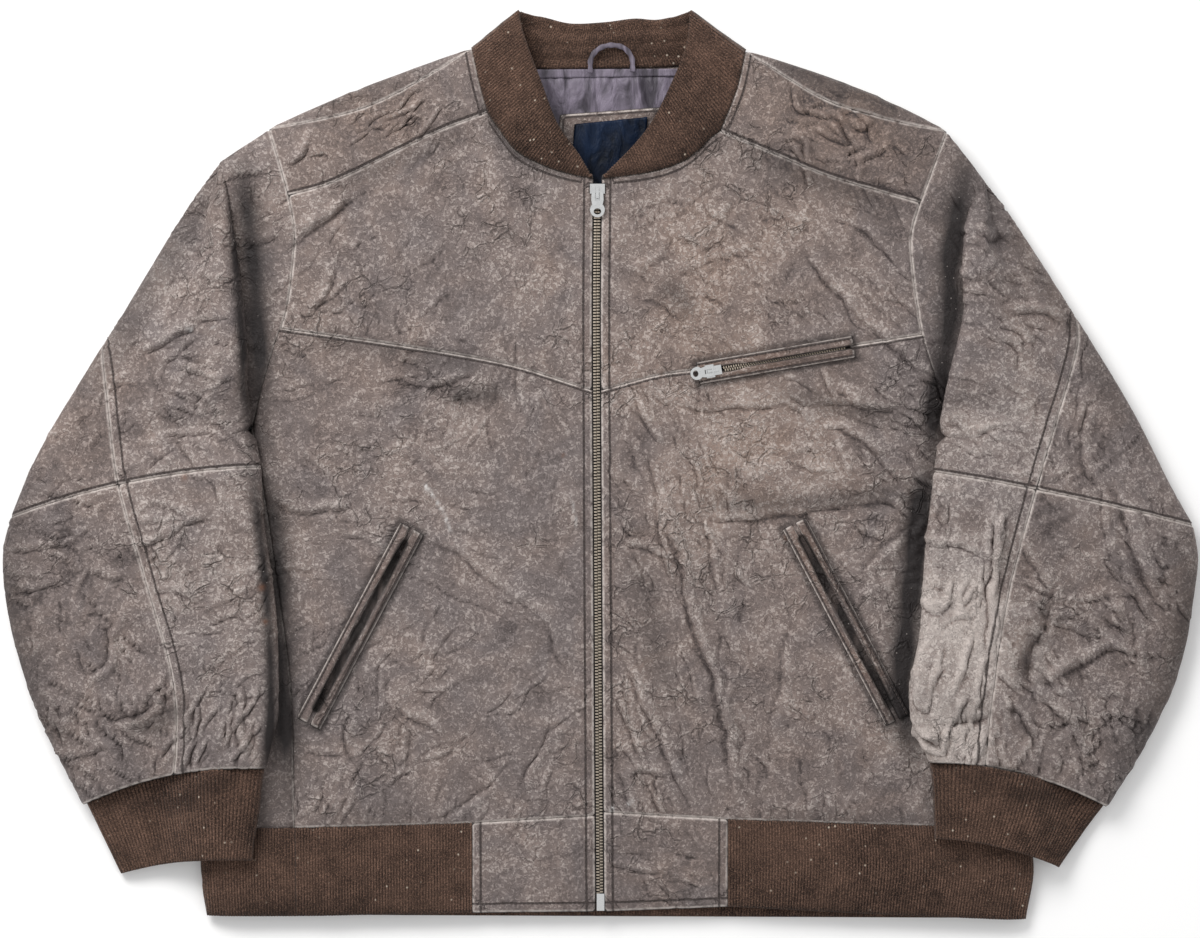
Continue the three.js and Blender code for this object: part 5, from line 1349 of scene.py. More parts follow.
def make_back(leather):
    hoops = np.array(hoops_between([s.hem_y.side for s in HALVES], [s.underarm for s in HALVES], 60))
    flank = len(flank_row(LEFT, 0.0))
    base = hoops[-1][flank - 1:flank + BACK_COLUMNS]
    insets = {s.letter: inset_shoulder(s) for s in HALVES}
    neck = along(BACK_NECK, BACK_NECK_COLUMNS)
    neck = np.column_stack([neck, np.full(len(neck), BACK_LEVEL)])
    neck[0], neck[-1] = insets["L"][-1], insets["R"][-1]
    top = joined(insets["L"], neck, insets["R"][::-1])
    upper = coons(base, top, back_armhole(LEFT), back_armhole(RIGHT))
    upper[1:-1, 1:-1, 2] = BACK_LEVEL
    rolls = [cut(shoulder_roll(LEFT, insets["L"]), "t"), cut(shoulder_roll(RIGHT, insets["R"])[:, ::-1], "t")]
    cuts = [cut(hoops, "lr"), cut(upper, "lr"), *rolls]
    leather_piece("back_panel", cuts, -1, leather, tone=-0.15)


# -------- the sleeves

def under_z(s, x, y):
    """Height of the middle of the sleeve's under leather, which climbs onto the body's side."""
    outside = (x - keyed(s.edge, y)) * s.sign
    on_body = level(y) + np.maximum(0, fold_lift(x, y)) + LEATHER + 0.8
    reach = 1 - ease((outside + 15) / 60)
    below = 1 - ease((y - s.underarm + 16) / 34)
    return mix(BACK_LEVEL, on_body, reach * below)


def row_frame(s, inner, outer, start, end, valley, bow):
    inner, outer = np.asarray(inner, float), np.asarray(outer, float)
    width = float(np.linalg.norm(outer - inner))
    direction = (outer - inner) / width if width > 0.01 else np.array([s.sign, 0.0])
    row = Bundle(
        s=s, inner=inner, outer=outer, start=start, end=end, valley=valley, bow=bow, width=width,
        full=float(ease(width / 90)), direction=direction, overhang=min(FOLD_OVERHANG, width / 3),
        radius=min(SLEEVE_OUTER_ROLL, width / 2.2))
    if start is None:
        base = across(row, row.overhang)
        row.start = np.array([*base, float(under_z(s, *base))])
        row.end = row.start
    return row


def across(row, w):
    """A plan point of a row, which bows towards the shoulder between its two ends."""
    w = np.asarray(w, float)
    q = clamp01(w / max(row.width, 0.01))
    plan = row.inner + row.direction * w[..., None]
    plan[..., 1] += 4 * row.bow * q * (1 - q)
    return plan


def ring(row, places):
    """Points of a sleeve's ring. A place runs from -3 at the armhole, by the valley at -2, the fold's
    underside at -1, the fold at -0.5, the top from 0 to 1, the outer edge at 1.5, to 4 at the under seam."""
    c = np.asarray(places, float)
    s, full, width = row.s, row.full, row.width
    overhang, radius = row.overhang, row.radius
    middle = float(level(row.outer[1])) / 2
    base = across(row, overhang)
    on_front = max(float(front_z(*base)), float(front_z(*row.inner)))
    valley_z = on_front - 1.5 * full if row.valley else float(under_z(s, *base))
    fold_low = valley_z + (3.6 * full if row.valley else 0)
    fold_top = fold_low + FOLD_HEIGHT * full
    outer_top = mix(middle, SLEEVE_OUTER_TOP, full)
    outer_low = mix(middle, BACK_LEVEL, full)

    turn_end = np.array([*across(row, overhang + 3 * full), valley_z])
    tucked = row.start + (turn_end - row.start) * (c + 3)[:, None]
    lying = front_z(tucked[:, 0], tucked[:, 1])
    tucked[:, 2] = mix(lying, valley_z, ease((c + 2.6) / 0.6))
    angle = np.pi * (c + 2)
    low_w = mix(overhang + 3 * full, overhang, clamp01(c + 2)) + 2.5 * full * np.sin(angle)
    low = np.column_stack([across(row, low_w), mix(valley_z, fold_low, (1 - np.cos(angle)) / 2)])
    angle = np.pi * (c + 1)
    fold = np.column_stack([across(row, overhang * (1 - np.sin(angle))),
                            mix(fold_low, fold_top, (1 - np.cos(angle)) / 2)])
    plan = across(row, mix(overhang, width - radius, c))
    folds = fold_lift(*plan.T) * full
    top = np.column_stack([plan, mix(fold_top, outer_top, ease(c)) + folds])
    angle = np.pi * (c - 1)
    edge = np.column_stack([across(row, width - radius * (1 - np.sin(angle))),
                            (outer_top + outer_low) / 2 + (outer_top - outer_low) / 2 * np.cos(angle)])
    seam = across(row, max(overhang, width - radius - UNDER_WIDTH))
    first, last = across(row, width - radius), np.asarray(row.end)[:2]
    near = first + (seam - first) * (c - 2)[:, None]
    under = seam + (last - seam) * (c - 3)[:, None]
    plan = np.where((c < 3)[:, None], near, under)
    below = np.column_stack([plan, mix(middle, under_z(s, *plan.T), full)])
    pick = [c <= -2, c <= -1, c <= 0, c <= 1, c <= 2]
    out = np.select([p[:, None] for p in pick], [tucked, low, fold, top, edge], below)
    return np.where((c >= 4)[:, None], row.end, out)


RING_STEPS = 260


def run_of(row, low, high, segments):
    """Evenly spaced points of a ring between two places."""
    return resampled(ring(row, np.linspace(low, high, RING_STEPS)), segments)


def upper_row(s, inner, outer, share):
    """The frames of the row at a share of the way from notch to elbow: one with the valley beside the
    armhole, one without, and how much the second counts."""
    steps, last_arm = 12, 10
    k = share * steps
    bow = s.bow.elbow * share**2
    heights = armhole(s, 1)[:, 1][::-1]
    y = float(np.interp(k, np.arange(11), heights))
    x = float(keyed(s.edge, y))
    lying = float(front_z(x, y))
    end_roll = float(roll((y - s.underarm) / 18) * roll((s.tip - y) / 18))
    end = np.array([x, y, float(mix(level(y) / 2, BACK_LEVEL, end_roll))])
    lift = 1.4 * float(ease(k - last_arm + 1))
    start = np.array([x, y, lying + lift])
    with_valley = row_frame(s, inner, outer, start, end - [0, 0, lift], True, bow)
    without = row_frame(s, inner, outer, None, None, False, bow)
    return with_valley, without, float(ease(k - last_arm))


def seam_place(row, line):
    """Where the lengthwise seam crosses a row, as a place round the ring, or None."""
    run = row.outer - row.inner
    rel = line - row.inner
    side = run[0] * rel[:, 1] - run[1] * rel[:, 0]
    hits = np.nonzero(side[:-1] * side[1:] <= 0)[0]
    if not len(hits):
        return None
    k = hits[0]
    hit = mix(line[k], line[k + 1], side[k] / (side[k] - side[k + 1]))
    w = float((hit - row.inner) @ run) / row.width
    if w > row.width:
        return None
    flat = row.width - row.radius
    if w <= flat:
        return (w - row.overhang) / (flat - row.overhang)
    return 1 + float(np.arcsin(clamp01((w - flat) / row.radius))) / np.pi


def seam_places(s, rows):
    """Places of the seam on all rows; before it shows, it lies hidden past the outer edge."""
    line = along(s.sleeve_seam, 200)
    found = [seam_place(row, line) for row in rows]
    first = next(k for k, place in enumerate(found) if place is not None)
    places = []
    for k, place in enumerate(found):
        if place is None:
            place = mix(found[first], 2.0, float(ease((first - k) / 9))) if k < first else places[-1]
        places.append(place)
    return places


def sleeve_grids(s):
    upper_cells, lower_cells = 128, 104
    inner, outer = along(s.fold, upper_cells), along(s.outer, upper_cells)
    shares = np.linspace(0, 1, upper_cells + 1)
    shares[0] = 0.006
    inner[0] = mix(inner[0], inner[1], 0.7)
    outer[0] = mix(outer[0], outer[1], 0.7)
    frames = [upper_row(s, inner[k], outer[k], shares[k]) for k in range(upper_cells + 1)]
    inner, outer = along(s.fold_low, lower_cells), along(s.outer_low, lower_cells)
    low_rows = [row_frame(s, inner[k], outer[k], None, None, False,
                          mix(s.bow.elbow, s.bow.cuff, k / lower_cells)) for k in range(lower_cells + 1)]
    places = seam_places(s, [f[0] for f in frames] + low_rows[1:])
    high_places = places[:upper_cells + 1]
    low_places = places[upper_cells:]

    def blended(frame, low, high, segments, plain_low=None):
        with_valley, without, weight = frame
        start = low if plain_low is None else plain_low
        if weight >= 1:
            return run_of(without, start, high, segments)
        points = run_of(with_valley, low, high, segments)
        return points if weight <= 0 else mix(points, run_of(without, start, high, segments), weight)

    wide, rim = 76, 66
    return Bundle(
        front_upper=np.array([blended(f, -3, p, wide, -1) for f, p in zip(frames, high_places)]),
        outer_upper=np.array([blended(f, p, 3, rim) for f, p in zip(frames, high_places)]),
        front_lower=np.array([run_of(r, -1, p, wide) for r, p in zip(low_rows, low_places)]),
        outer_lower=np.array([run_of(r, p, 3, rim) for r, p in zip(low_rows, low_places)]),
        under=np.array([blended(f, 3, 4, 14) for f in frames[::4]]
                       + [run_of(r, 3, 4, 14) for r in low_rows[4::4]]),
    )


def make_sleeve(s, leather):
    grids = sleeve_grids(s)
    seam, double = 2.6, 7.5
    bright = 0.5 if s.sign > 0 else 0.3
    plan = {
        "front_upper": ("tlr", [("r", double), ("t", seam)], 0.15, 1.0),
        "outer_upper": ("tl", [("t", seam)], -0.25, 1.0),
        "front_lower": ("btr", [("r", double)], bright, 1.25),
        "outer_lower": ("btl", [], -0.3, 1.3),
        "under": ("", [], -0.4, 0.0),
    }
    for name, (seams, stitched, tone, amount) in plan.items():
        grid = getattr(grids, name)
        piece = leather_piece(
            f"sleeve_{name}_{s.letter}", [cut(grid, seams, stitched)], -s.sign, leather,
            tone=tone, amount=amount)
        for side, offset in stitched:
            sew(piece, grid, side, offset, 0.3 if name == "front_upper" and side == "r" else 0.03, 0.97)


# -------- the knit

RIB_CELLS = 4


def rib_count(length, pitch):
    return max(4, int(round(length / pitch)))


def knit_piece(name, grid, turn, thickness, knit, soft=0.5):
    """A ribbed piece whose ribs run up the grid's columns, RIB_CELLS columns to a rib."""
    pitch = knit.pitch / MM
    course = np.tile(np.arange(grid.shape[1]) * pitch / RIB_CELLS, (grid.shape[0], 1))
    points, faces, _, found = merged([Bundle(grid=grid, edge=course, groove=course)], turn)
    normals = normals_of(points, faces)
    free = ease((points[:, 2] - 4) / 6)
    waves = noise(points[:, 0], points[:, 1], 22, 31) * 0.9 + noise(points[:, 0], points[:, 1], 9, 32) * 0.35
    middle = points + normals * (waves * free * soft)[:, None]
    out = normals_of(middle, faces)
    both, shell = shelled(middle, out, faces, thickness)
    obj = mesh_object(name, both, shell, finish("knit"), {
        "shade": np.tile(shadow(*points[:, :2].T), 2),
        "course": np.tile(found, 2) * MM, "out": np.tile(out * np.maximum(free, 0.05)[:, None], (2, 1))})
    tree, ids = rib_tree()
    baked(obj, tree, ids, {"Pitch": knit.pitch, "Depth": knit.depth}, finish("knit"))
    for vertex in obj.data.vertices:
        vertex.co.z = max(vertex.co.z, 0.0)
    belongs(obj, "rib_knit", name)


def make_hem_fronts(knit):
    pitch = knit.pitch / MM
    for s in HALVES:
        width = abs(keyed(s.side_seam, s.hem_y.side) - s.tab_x)
        cells = rib_count(width, pitch) * RIB_CELLS
        top = hem_line(s, s.hem_y, cells, 0)
        low = hem_line(s, s.bottom_y, cells, 0)
        rows = 18
        outer = side_line(s, s.bottom_y.side, s.hem_y.side, rows)
        inner = along([(s.tab_x, s.bottom_y.tab), (s.tab_x, s.hem_y.tab)], rows)
        grid = lifted(coons(low, top, outer, inner), front_z)
        share = np.linspace(0, 1, rows + 1)[:, None]
        grid[..., 2] -= 1.0 * np.exp(-(((1 - share) / 0.03) ** 2))
        knit_piece(f"hem_rib_front_{s.letter}", grid, -s.sign, RIB, knit)


def make_hem_back(knit):
    hoops = hoops_between([s.bottom_y.side for s in HALVES], [s.hem_y.side for s in HALVES], 12)
    length = np.linalg.norm(np.diff(hoops[-1], axis=0), axis=1).sum()
    cells = rib_count(length, knit.pitch / MM) * RIB_CELLS
    grid = np.array([resampled(h, cells) for h in hoops])
    grid[..., 2] += (RIB - LEATHER) / 2 * (grid[..., 2] < BACK_LEVEL + 0.5)
    knit_piece("hem_rib_back", grid, -1, RIB, knit)


def make_cuff(s, knit):
    start = np.array([s.fold_low[-1], s.outer_low[-1]], float)
    end = np.array(s.cuff_end, float)
    rows = 26
    made = []
    for t in np.linspace(0, 1, rows + 1):
        inner, outer = mix(start, end, t)
        row = row_frame(s, inner, outer, None, None, False, mix(s.bow.cuff, s.bow.end, t))
        turn = np.linspace(0, 2 * np.pi, 161)
        q = (1 - np.cos(turn)) / 2
        plan = across(row, row.width * mix(0.015, 0.985, q))
        low = under_z(s, *plan.T) + (RIB - LEATHER) / 2 + 0.2
        arch = np.sqrt(np.maximum(4 * q * (1 - q), 0)) ** 0.7
        rise = 3.4 * clamp01(np.abs(np.sin(turn)) * 9) + mix(12, 7, t) * arch
        z = np.where(turn < np.pi, low + rise, low)
        ends = clamp01(np.abs(np.sin(turn)) * 6)
        z = mix(low + 1.7, z, ends)
        loop = np.column_stack([plan, z])
        loop[-1] = loop[0]
        made.append(loop)
    length = np.linalg.norm(np.diff(made[-1], axis=0), axis=1).sum()
    cells = rib_count(length, knit.pitch / MM) * RIB_CELLS
    grid = np.array([resampled(loop, cells) for loop in made])
    grid[:, -1] = grid[:, 0]
    knit_piece(f"cuff_{s.letter}", grid, -s.sign, RIB, knit, 0.8)


def make_collar(knit):
    side_cells, back_cells = 66 * RIB_CELLS, 88 * RIB_CELLS
    seams, frees = [], []
    for s in HALVES:
        lower = along([*s.neck_lower[:-1], zip_point(s, NECK_FRONT)], int(side_cells * 0.66))[::-1]
        upper = along(s.neck_upper, side_cells - int(side_cells * 0.66))
        seam = joined(lower, upper)
        seam = np.column_stack([seam, front_z(*seam.T) + 0.5])
        free = along(s.free_front, side_cells)
        z = keyed([(236, 28), (300, 29), (346, 24), (363, 19), (376, 12.5)], free[:, 1])
        seams.append(seam)
        frees.append(np.column_stack([free, z]))
    neck = along(BACK_NECK, back_cells)
    end = np.minimum(np.linspace(0, 1, back_cells + 1), np.linspace(1, 0, back_cells + 1))
    z = mix(np.where(neck[:, 0] < 0, seams[0][-1, 2], seams[1][-1, 2]), 1.9, ease(end / 0.14))
    neck = np.column_stack([neck, z])
    top = along([*LEFT.free_back, *RIGHT.free_back[::-1][1:]], back_cells)
    z = mix(12.5, 3.4, ease(end / 0.12))
    top = np.column_stack([top, z])
    seam = joined(seams[0], neck, seams[1][::-1])
    free = joined(frees[0], top, frees[1][::-1])
    rows = 16
    inner = np.concatenate([np.zeros(side_cells), np.ones(back_cells + 1), np.zeros(side_cells)])
    grid = []
    for t in np.linspace(0, 1, rows + 1):
        row = mix(seam, free, t)
        ripple = 0.8 * np.sin(t * 2 * np.pi * 3.5) * inner
        row[:, 2] += np.where(inner > 0, 0.4, 2.4) * np.sin(np.pi * t) + ripple
        grid.append(row)
    knit_piece("collar_rib", np.array(grid), 1, COLLAR, knit, 0.5)


# -------- inside the neck

def flat_grid(corners, cell):
    a, b, c, d = (np.array(p, float) for p in corners)
    n, m = cells_for(np.linalg.norm(b - a), cell), cells_for(np.linalg.norm(d - a), cell)
    return coons(along([a, b], n), along([d, c], n), along([a, d], m), along([b, c], m))


def satin_piece(name, corners, z, thickness, pleats, material, slot, cell=2.0):
    plan = flat_grid(corners, cell)
    grid = np.dstack([plan, z + pleats(plan[..., 0], plan[..., 1])])
    points, faces, _, _ = merged([cut(grid)], 1)
    both, shell = shelled(points, normals_of(points, faces), faces, thickness)
    obj = mesh_object(name, both, shell, material)
    belongs(obj, slot, name)


def make_neck_inside(leather):
    z = LEATHER + GAP + LINING / 2
    lining_pleats = lambda x, y: ((0.45 + 1.1 * ease((y - 292) / 10) * ease((322 - y) / 6))
                                  * (1 + noise(x * 1.7 + y * 0.4, y * 0.35, 8, 41)
                                     + 0.4 * noise(x * 2, y * 0.6, 5, 42)))
    satin_piece("neck_lining", [(-60, 218), (70, 218), (66, 326.5), (-56, 326.5)], z, LINING,
                lining_pleats, finish("lining"), "lining")
    binding_z = z + LINING / 2 + GAP + 0.6
    wave = lambda x, y: 0.35 + 0.3 * noise(x, y, 7, 43)
    satin_piece("neck_binding", [(-55, 319), (65, 321), (65, 327), (-55, 326.4)], binding_z, 1.2, wave,
                finish("lining"), "lining", 1.6)
    patch_z = z + LINING / 2 + GAP + 0.7 + 0.9
    plan = flat_grid([(-37, 224), (46, 224), (50, 295), (-33, 289)], 2.2)
    patch = np.dstack([plan, np.full(plan.shape[:2], patch_z)])
    leather_piece("neck_patch", [cut(patch, "tlr", [("t", 3.0), ("l", 3.0), ("r", 3.0)])], 1, leather,
                  tone=0.2, warm=0.4, amount=0.2, thickness=1.4, slot="leather_trim")
    label_z = patch_z + 0.7 + GAP + 0.5
    folds = lambda x, y: (0.7 + 0.8 * noise(x * 1.4 - y * 0.25, y * 0.3, 9, 44)
                          + 0.3 * noise(x * 2, y * 0.6, 5, 45))
    satin_piece("neck_label", [(-25, 228), (35, 228), (39, 287), (-21, 281)], label_z, 1.0, folds,
                finish("label"), "label_cloth")
    make_hanger_loop()


def make_hanger_loop():
    """A narrow folded strip of lining, sewn down at both ends."""
    path = along([(-8, 323, 8.6), (-7, 336, 8.8), (0, 343.5, 9), (10, 346, 9), (20, 343.5, 9),
                  (26, 336, 8.8), (27, 324, 8.6)], 60)
    sides = 16
    turn = np.linspace(0, 2 * np.pi, sides + 1)
    tangent = np.gradient(path, axis=0)
    tangent /= np.linalg.norm(tangent, axis=1, keepdims=True)
    out = np.cross(tangent, [0, 0, 1])
    out /= np.linalg.norm(out, axis=1, keepdims=True)
    up = np.cross(out, tangent)
    pinch = 1 + 0.12 * np.sin(np.arange(len(path)) * 0.9)
    ring_points = [path + out * (2.1 * pinch * np.cos(t))[:, None] + up * np.sin(t) for t in turn[:-1]]
    points = np.concatenate([*ring_points, path[:1], path[-1:]])
    n = len(path)
    faces = []
    for k in range(sides):
        a, b = k * n, ((k + 1) % sides) * n
        for j in range(n - 1):
            faces += [(a + j, a + j + 1, b + j + 1), (a + j, b + j + 1, b + j)]
        faces += [(sides * n, a, b), (sides * n + 1, b + n - 1, a + n - 1)]
    faces = np.array(faces)
    corner = points[faces]
    volume = np.einsum("ij,ij->i", corner[:, 0], np.cross(corner[:, 1], corner[:, 2])).sum()
    if volume < 0:
        faces = faces[:, ::-1]
    obj = mesh_object("hanger_loop", points, faces, finish("lining"))
    belongs(obj, "lining", "hanger_loop")


# -------- the pockets

def welt_piece(name, start, end, low, high, leather, gape, slot_low):
    """One edge of a pocket: a folded strip of leather, rolled at the slot and worn at its outer edge."""
    a, b = np.array(start, float), np.array(end, float)
    run = b - a
    length = np.linalg.norm(run)
    normal = np.array([-run[1], run[0]]) / length
    cells = cells_for(length, 2.0)
    t = np.linspace(0, 1, cells + 1)[None, :]
    w = np.linspace(0, 1, 9)[:, None]
    inner = w if slot_low else 1 - w  # 0 at the slot, 1 at the outer edge
    open_share = np.sin(np.pi * t) ** 2 if gape > 0 else ease((t - 0.22) / 0.16) * ease((1 - t) / 0.03)
    bowed = gape * open_share * (1 - inner) * (1 if slot_low else -1)
    off = low + (high - low) * w + bowed
    plan = a + run * t[..., None] + normal * off[..., None]
    x, y = plan[..., 0], plan[..., 1]
    lie = front_z(x, y) + LEATHER / 2 + GAP + 0.5
    body = 1.5 * np.exp(-(((inner - 0.2) / 0.24) ** 2)) + 0.9 * np.exp(-(((inner - 0.82) / 0.14) ** 2))
    sunk = -1.2 * np.exp(-((inner / 0.08) ** 2))
    z = lie + WELT / 2 + body + sunk + 0.25 * noise(x, y, 6, 51)
    grid = np.dstack([plan, z])
    side, in_by = "t" if slot_low else "b", 2.4
    piece = leather_piece(name, [cut(grid, "btlr", [(side, in_by)])], 1, leather, tone=-0.05, warm=0.7,
                          amount=0.0, thickness=WELT, slot="leather_trim")
    sew(piece, grid, side, in_by, 0.02, 0.98)


def make_pockets(leather):
    for s in HALVES:
        half, slot = HAND_POCKET.width / 2, HAND_POCKET.slot / 2
        for label in ("inner", "outer"):
            high_side = (label == "inner") == (s.sign > 0)
            low, high = (slot, half) if high_side else (-half, -slot)
            welt_piece(f"hand_welt_{label}_{s.letter}", s.pocket.bottom, s.pocket.top, low, high, leather,
                       3.4, high_side)
    half, slot = CHEST_POCKET.height / 2, CHEST_POCKET.slot / 2
    welt_piece("chest_welt_upper", CHEST_POCKET.start, CHEST_POCKET.end, slot, half, leather, -2.3, True)
    welt_piece("chest_welt_lower", CHEST_POCKET.start, CHEST_POCKET.end, -half, -slot, leather, -2.3, False)


# -------- the zips

def tooth_item(side, reach, size):
    """One zip tooth: a rounded bar that reaches across the chain's middle."""
    across_x = size * 0.32
    points, faces = [], []
    bar = [(-reach, 0.75, 0.6), (-reach * 0.2, 0.8, 0.8), (reach * 0.28, 0.95, 0.75),
           (reach * 0.45, 0.7, 0.45)]
    corners = [(-1, -1), (1, -1), (1, 1), (-1, 1)]
    for out, wide, high in bar:
        for cx, cz in corners:
            points.append((cx * across_x * wide, side * out, cz * high))
    for r in range(len(bar) - 1):
        for k in range(4):
            n = (k + 1) % 4
            faces.append((r * 4 + k, r * 4 + n, r * 4 + 4 + n, r * 4 + 4 + k))
    faces += [(3, 2, 1, 0), tuple(range(len(points) - 4, len(points)))]
    if side > 0:
        faces = [f[::-1] for f in faces]
    return new_object("tooth", points, [], faces)


def make_chain(name, line, half_width, pitch, tape_half, node):
    """Two interlocked rows of teeth on the two edges of a tape, as one piece."""
    material = finish("teeth")
    heading = line[-1] - line[0]
    heading = heading / np.linalg.norm(heading)
    sideways = np.cross([0, 0, 1], heading)
    parts = []
    for side, lead in ((1, 0.0), (-1, 0.5)):
        start = line[0] + heading * pitch * lead
        path = np.vstack([start, line[1:]]) + sideways * side * half_width * 0.42
        item = tooth_item(-side, half_width * 0.9, pitch)
        parts.append(repeated(f"{name}_row", [path], item, pitch * MM, material))
    tapes = []
    for side in (1, -1):
        strip = np.stack([line + sideways * side * off + [0, 0, -1.0] for off in (0.35, tape_half)])
        strip = strip if side > 0 else strip[::-1]
        points, faces, _, _ = merged([cut(strip)], 1)
        up = normals_of(points, faces)
        if up[:, 2].mean() < 0:
            faces = faces[:, ::-1]
            up = -up
        both, shell = shelled(points, up, faces, 0.5)
        tapes.append(mesh_object(f"{name}_edge", both, shell, finish("tape"), smooth=False))
    whole = parts + tapes
    with bpy.context.temp_override(active_object=whole[0], selected_editable_objects=whole,
                                   selected_objects=whole):
        bpy.ops.object.join()
    obj = whole[0]
    obj.name = name
    obj.data.polygons.foreach_set("use_smooth", np.full(len(obj.data.polygons), False))
    belongs(obj, "zip_teeth", node)


def chest_point(distance):
    start, _, run = run_between(CHEST_POCKET.start, CHEST_POCKET.end)
    return start + run * distance


def make_zips():
    y = np.linspace(ZIP_END, ZIP_TOP, 120)
    x = keyed(ZIP_LINE, y)
    main = np.column_stack([x, y, front_z(x, y) + 0.1])
    make_chain("zip_teeth_main", main, 2.0, 2.5, 3.5, "zip_chain")
    plan = np.array([chest_point(d) for d in np.linspace(22, 122, 40)])
    z = front_z(*plan.T) + LEATHER / 2 + GAP
    make_chain("zip_teeth_chest", np.column_stack([plan, z]), 1.7, 2.0, 2.4, "chest_zip_chain")
    for node in ("zip_tape_L", "zip_tape_R", "zip_bottom", "zip_slider", "zip_pull", "chest_zip_slider",
                 "chest_zip_pull"):
        mesh = frame["nodes"][node].data
        mesh.materials.clear()
        mesh.materials.append(finish("tape" if "tape" in node else "nickel"))
        # how steep each face is, for the nickel's painted shade
        steep = mesh.attributes.new("steep", "FLOAT", "FACE")
        steep.data.foreach_set("value", [1 - abs(face.normal.z) for face in mesh.polygons])


def make_stitches(leather):
    stitch = stitch_item([(-1.25, 0, 0, -0.15), (-1.0, 0.3, 0.22, 0.0), (0, 0.42, 0.34, 0.12),
                          (1.0, 0.3, 0.22, 0.0), (1.25, 0, 0, -0.15)])
    obj = repeated("stitches", SEWN, stitch, leather.stitch, finish("thread"))
    belongs(obj, "leather_trim")


# -------- floor, light and camera

def make_studio(studio):
    scene = bpy.context.scene
    half = 40000
    floor = new_object("floor", [(-half, -half, 0), (half, -half, 0), (half, half, 0), (-half, half, 0)], [],
                       [(0, 1, 2, 3)])
    white = bpy.data.materials.new("pale_floor")
    white.use_nodes = True
    tree = white.node_tree
    plug(tree, tree.nodes["Principled BSDF"],
         {"Base Color": (0.95, 0.95, 0.95, 1), "Roughness": 0.9, "Specular IOR Level": 0.1})
    floor.data.materials.append(white)

    world = bpy.data.worlds.new("soft_studio")
    world.use_nodes = True
    tree = world.node_tree
    plug(tree, tree.nodes["Background"], {"Color": (1, 1, 1, 1), "Strength": studio.sky})
    scene.world = world
    scene.view_settings.view_transform = "Standard"
    scene.view_settings.look = "None"

    lamp = bpy.data.lights.new("key", "AREA")
    lamp.shape = "RECTANGLE"
    lamp.size, lamp.size_y = 1.5, 1.1
    lamp.energy = studio.key
    lamp.color = (1, 0.99, 0.98)
    light = bpy.data.objects.new("key", lamp)
    light.location = (-1.1, 1.7, 1.9)
    light.rotation_euler = (-light.location).to_track_quat("-Z", "Y").to_euler()
    light.visible_camera = False
    scene.collection.objects.link(light)

    data = bpy.data.cameras.new("camera")
    data.sensor_width = 36.0
    data.lens = data.sensor_width * (studio.height - 0.025) / studio.field
    data.clip_start, data.clip_end = 0.05, 200.0
    camera = bpy.data.objects.new("camera", data)
    camera.location = (0, -0.0033, studio.height)
    scene.collection.objects.link(camera)
    scene.camera = camera


# -------- operators and panel

class JACKET_OT_studio(bpy.types.Operator):
    """Make the pale floor, the soft light and the camera"""

    bl_idname = "jacket.studio"
    bl_label = "Studio"

    def execute(self, context):
        make_studio(context.scene.jacket_studio)
        return {"FINISHED"}


class JACKET_OT_back(bpy.types.Operator):
    """Make the back of the jacket, with its rolled sides and shoulders"""

    bl_idname = "jacket.back"
    bl_label = "Back"

    def execute(self, context):
        make_back(context.scene.jacket_leather)
        return {"FINISHED"}


class JACKET_OT_fronts(bpy.types.Operator):
    """Make the yokes, chests, lower fronts and hem tabs"""

    bl_idname = "jacket.fronts"
    bl_label = "Fronts"

    def execute(self, context):
        for s in HALVES:
            make_front(s, context.scene.jacket_leather)
        return {"FINISHED"}


class JACKET_OT_sleeves(bpy.types.Operator):
    """Make the five pieces of each sleeve"""

    bl_idname = "jacket.sleeves"
    bl_label = "Sleeves"

    def execute(self, context):
        for s in HALVES:
            make_sleeve(s, context.scene.jacket_leather)
        return {"FINISHED"}


class JACKET_OT_ribs(bpy.types.Operator):
    """Make the ribbed hem and cuffs"""

    bl_idname = "jacket.ribs"
    bl_label = "Hem and cuffs"

    def execute(self, context):
        knit = context.scene.jacket_knit
        make_hem_fronts(knit)
        make_hem_back(knit)
        for s in HALVES:
            make_cuff(s, knit)
        return {"FINISHED"}


class JACKET_OT_collar(bpy.types.Operator):
    """Make the ribbed collar"""

    bl_idname = "jacket.collar"
    bl_label = "Collar"

    def execute(self, context):
        make_collar(context.scene.jacket_knit)
        return {"FINISHED"}


class JACKET_OT_neck_inside(bpy.types.Operator):
    """Make what shows inside the neck: lining, binding, patch, bare label and hanger loop"""

    bl_idname = "jacket.neck_inside"
    bl_label = "Inside of the neck"

    def execute(self, context):
        make_neck_inside(context.scene.jacket_leather)
        return {"FINISHED"}


class JACKET_OT_pockets(bpy.types.Operator):
    """Make the edges of the hand pockets and the chest pocket"""

    bl_idname = "jacket.pockets"
    bl_label = "Pockets"

    def execute(self, context):
        make_pockets(context.scene.jacket_leather)
        return {"FINISHED"}


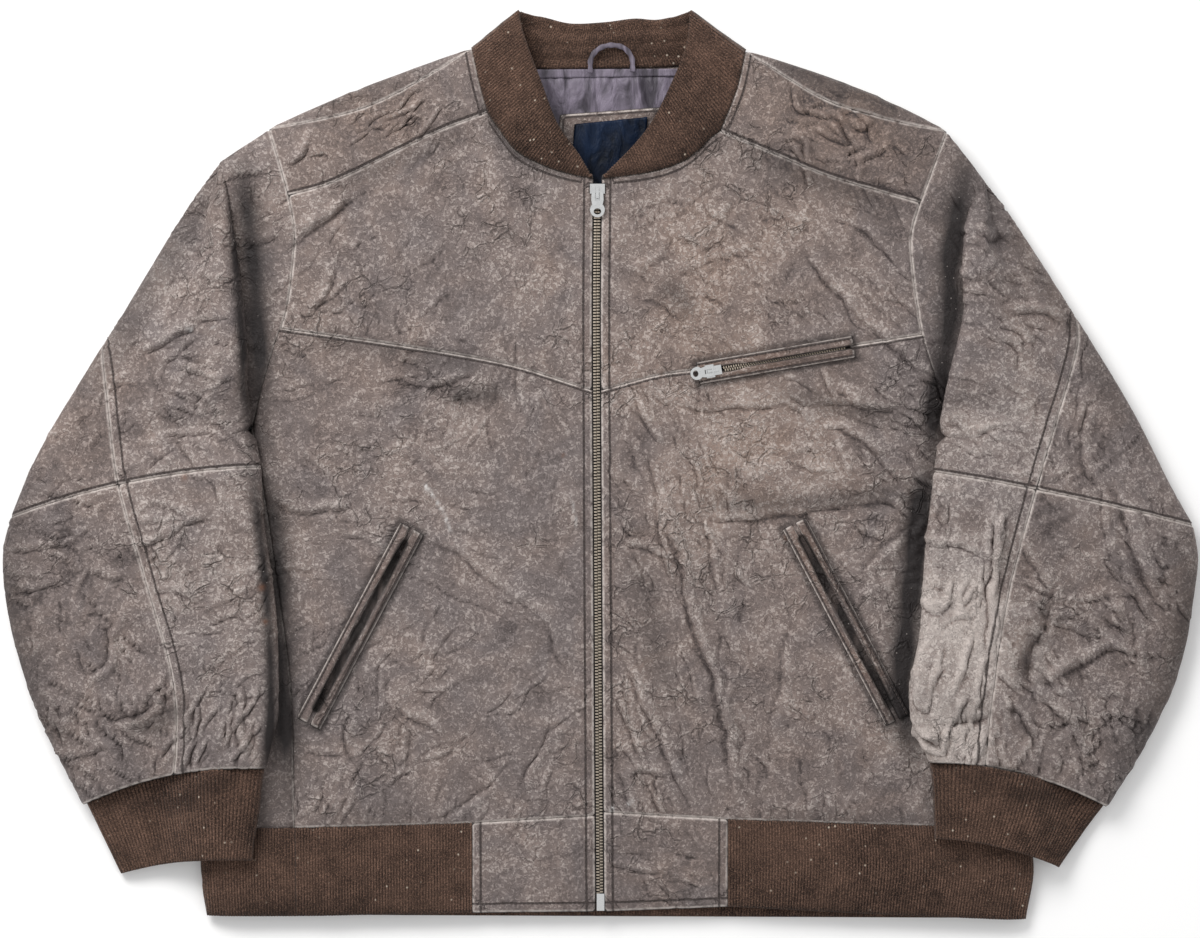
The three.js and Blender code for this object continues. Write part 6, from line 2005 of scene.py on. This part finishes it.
class JACKET_OT_zips(bpy.types.Operator):
    """Make the zip chains and finish the sliders and pulls"""

    bl_idname = "jacket.zips"
    bl_label = "Zips"

    def execute(self, context):
        make_zips()
        return {"FINISHED"}


class JACKET_OT_stitches(bpy.types.Operator):
    """Sew the lines of stitches beside the seams that are already made"""

    bl_idname = "jacket.stitches"
    bl_label = "Stitches"

    def execute(self, context):
        make_stitches(context.scene.jacket_leather)
        return {"FINISHED"}


STEPS = ("studio", "back", "fronts", "sleeves", "ribs", "collar", "neck_inside", "pockets", "zips",
         "stitches")


class JACKET_PT_panel(bpy.types.Panel):
    """Lists the jacket's settings and pieces"""

    bl_idname = "JACKET_PT_panel"
    bl_label = "Worn leather jacket"
    bl_space_type = "VIEW_3D"
    bl_region_type = "UI"
    bl_category = "Jacket"

    def draw(self, context):
        for settings in SETTINGS:
            group = getattr(context.scene, settings)
            box = self.layout.box()
            for key in group.bl_rna.properties.keys():
                if key not in ("rna_type", "name"):
                    box.prop(group, key)
        for step in STEPS:
            self.layout.operator(f"jacket.{step}")


SETTINGS = {
    "jacket_leather": LeatherSettings,
    "jacket_knit": KnitSettings,
    "jacket_trim": TrimSettings,
    "jacket_studio": StudioSettings,
}
OPERATORS = (JACKET_OT_studio, JACKET_OT_back, JACKET_OT_fronts, JACKET_OT_sleeves, JACKET_OT_ribs,
             JACKET_OT_collar, JACKET_OT_neck_inside, JACKET_OT_pockets, JACKET_OT_zips, JACKET_OT_stitches)


def register():
    for cls in (*SETTINGS.values(), *OPERATORS, JACKET_PT_panel):
        bpy.utils.register_class(cls)
    for key, group in SETTINGS.items():
        setattr(bpy.types.Scene, key, bpy.props.PointerProperty(type=group))


def unregister():
    for key in SETTINGS:
        delattr(bpy.types.Scene, key)
    for cls in (JACKET_PT_panel, *OPERATORS[::-1], *list(SETTINGS.values())[::-1]):
        bpy.utils.unregister_class(cls)


def main():
    register()
    for step in STEPS:
        getattr(bpy.ops.jacket, step)()
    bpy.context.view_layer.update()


if __name__ == "__main__":
    main()
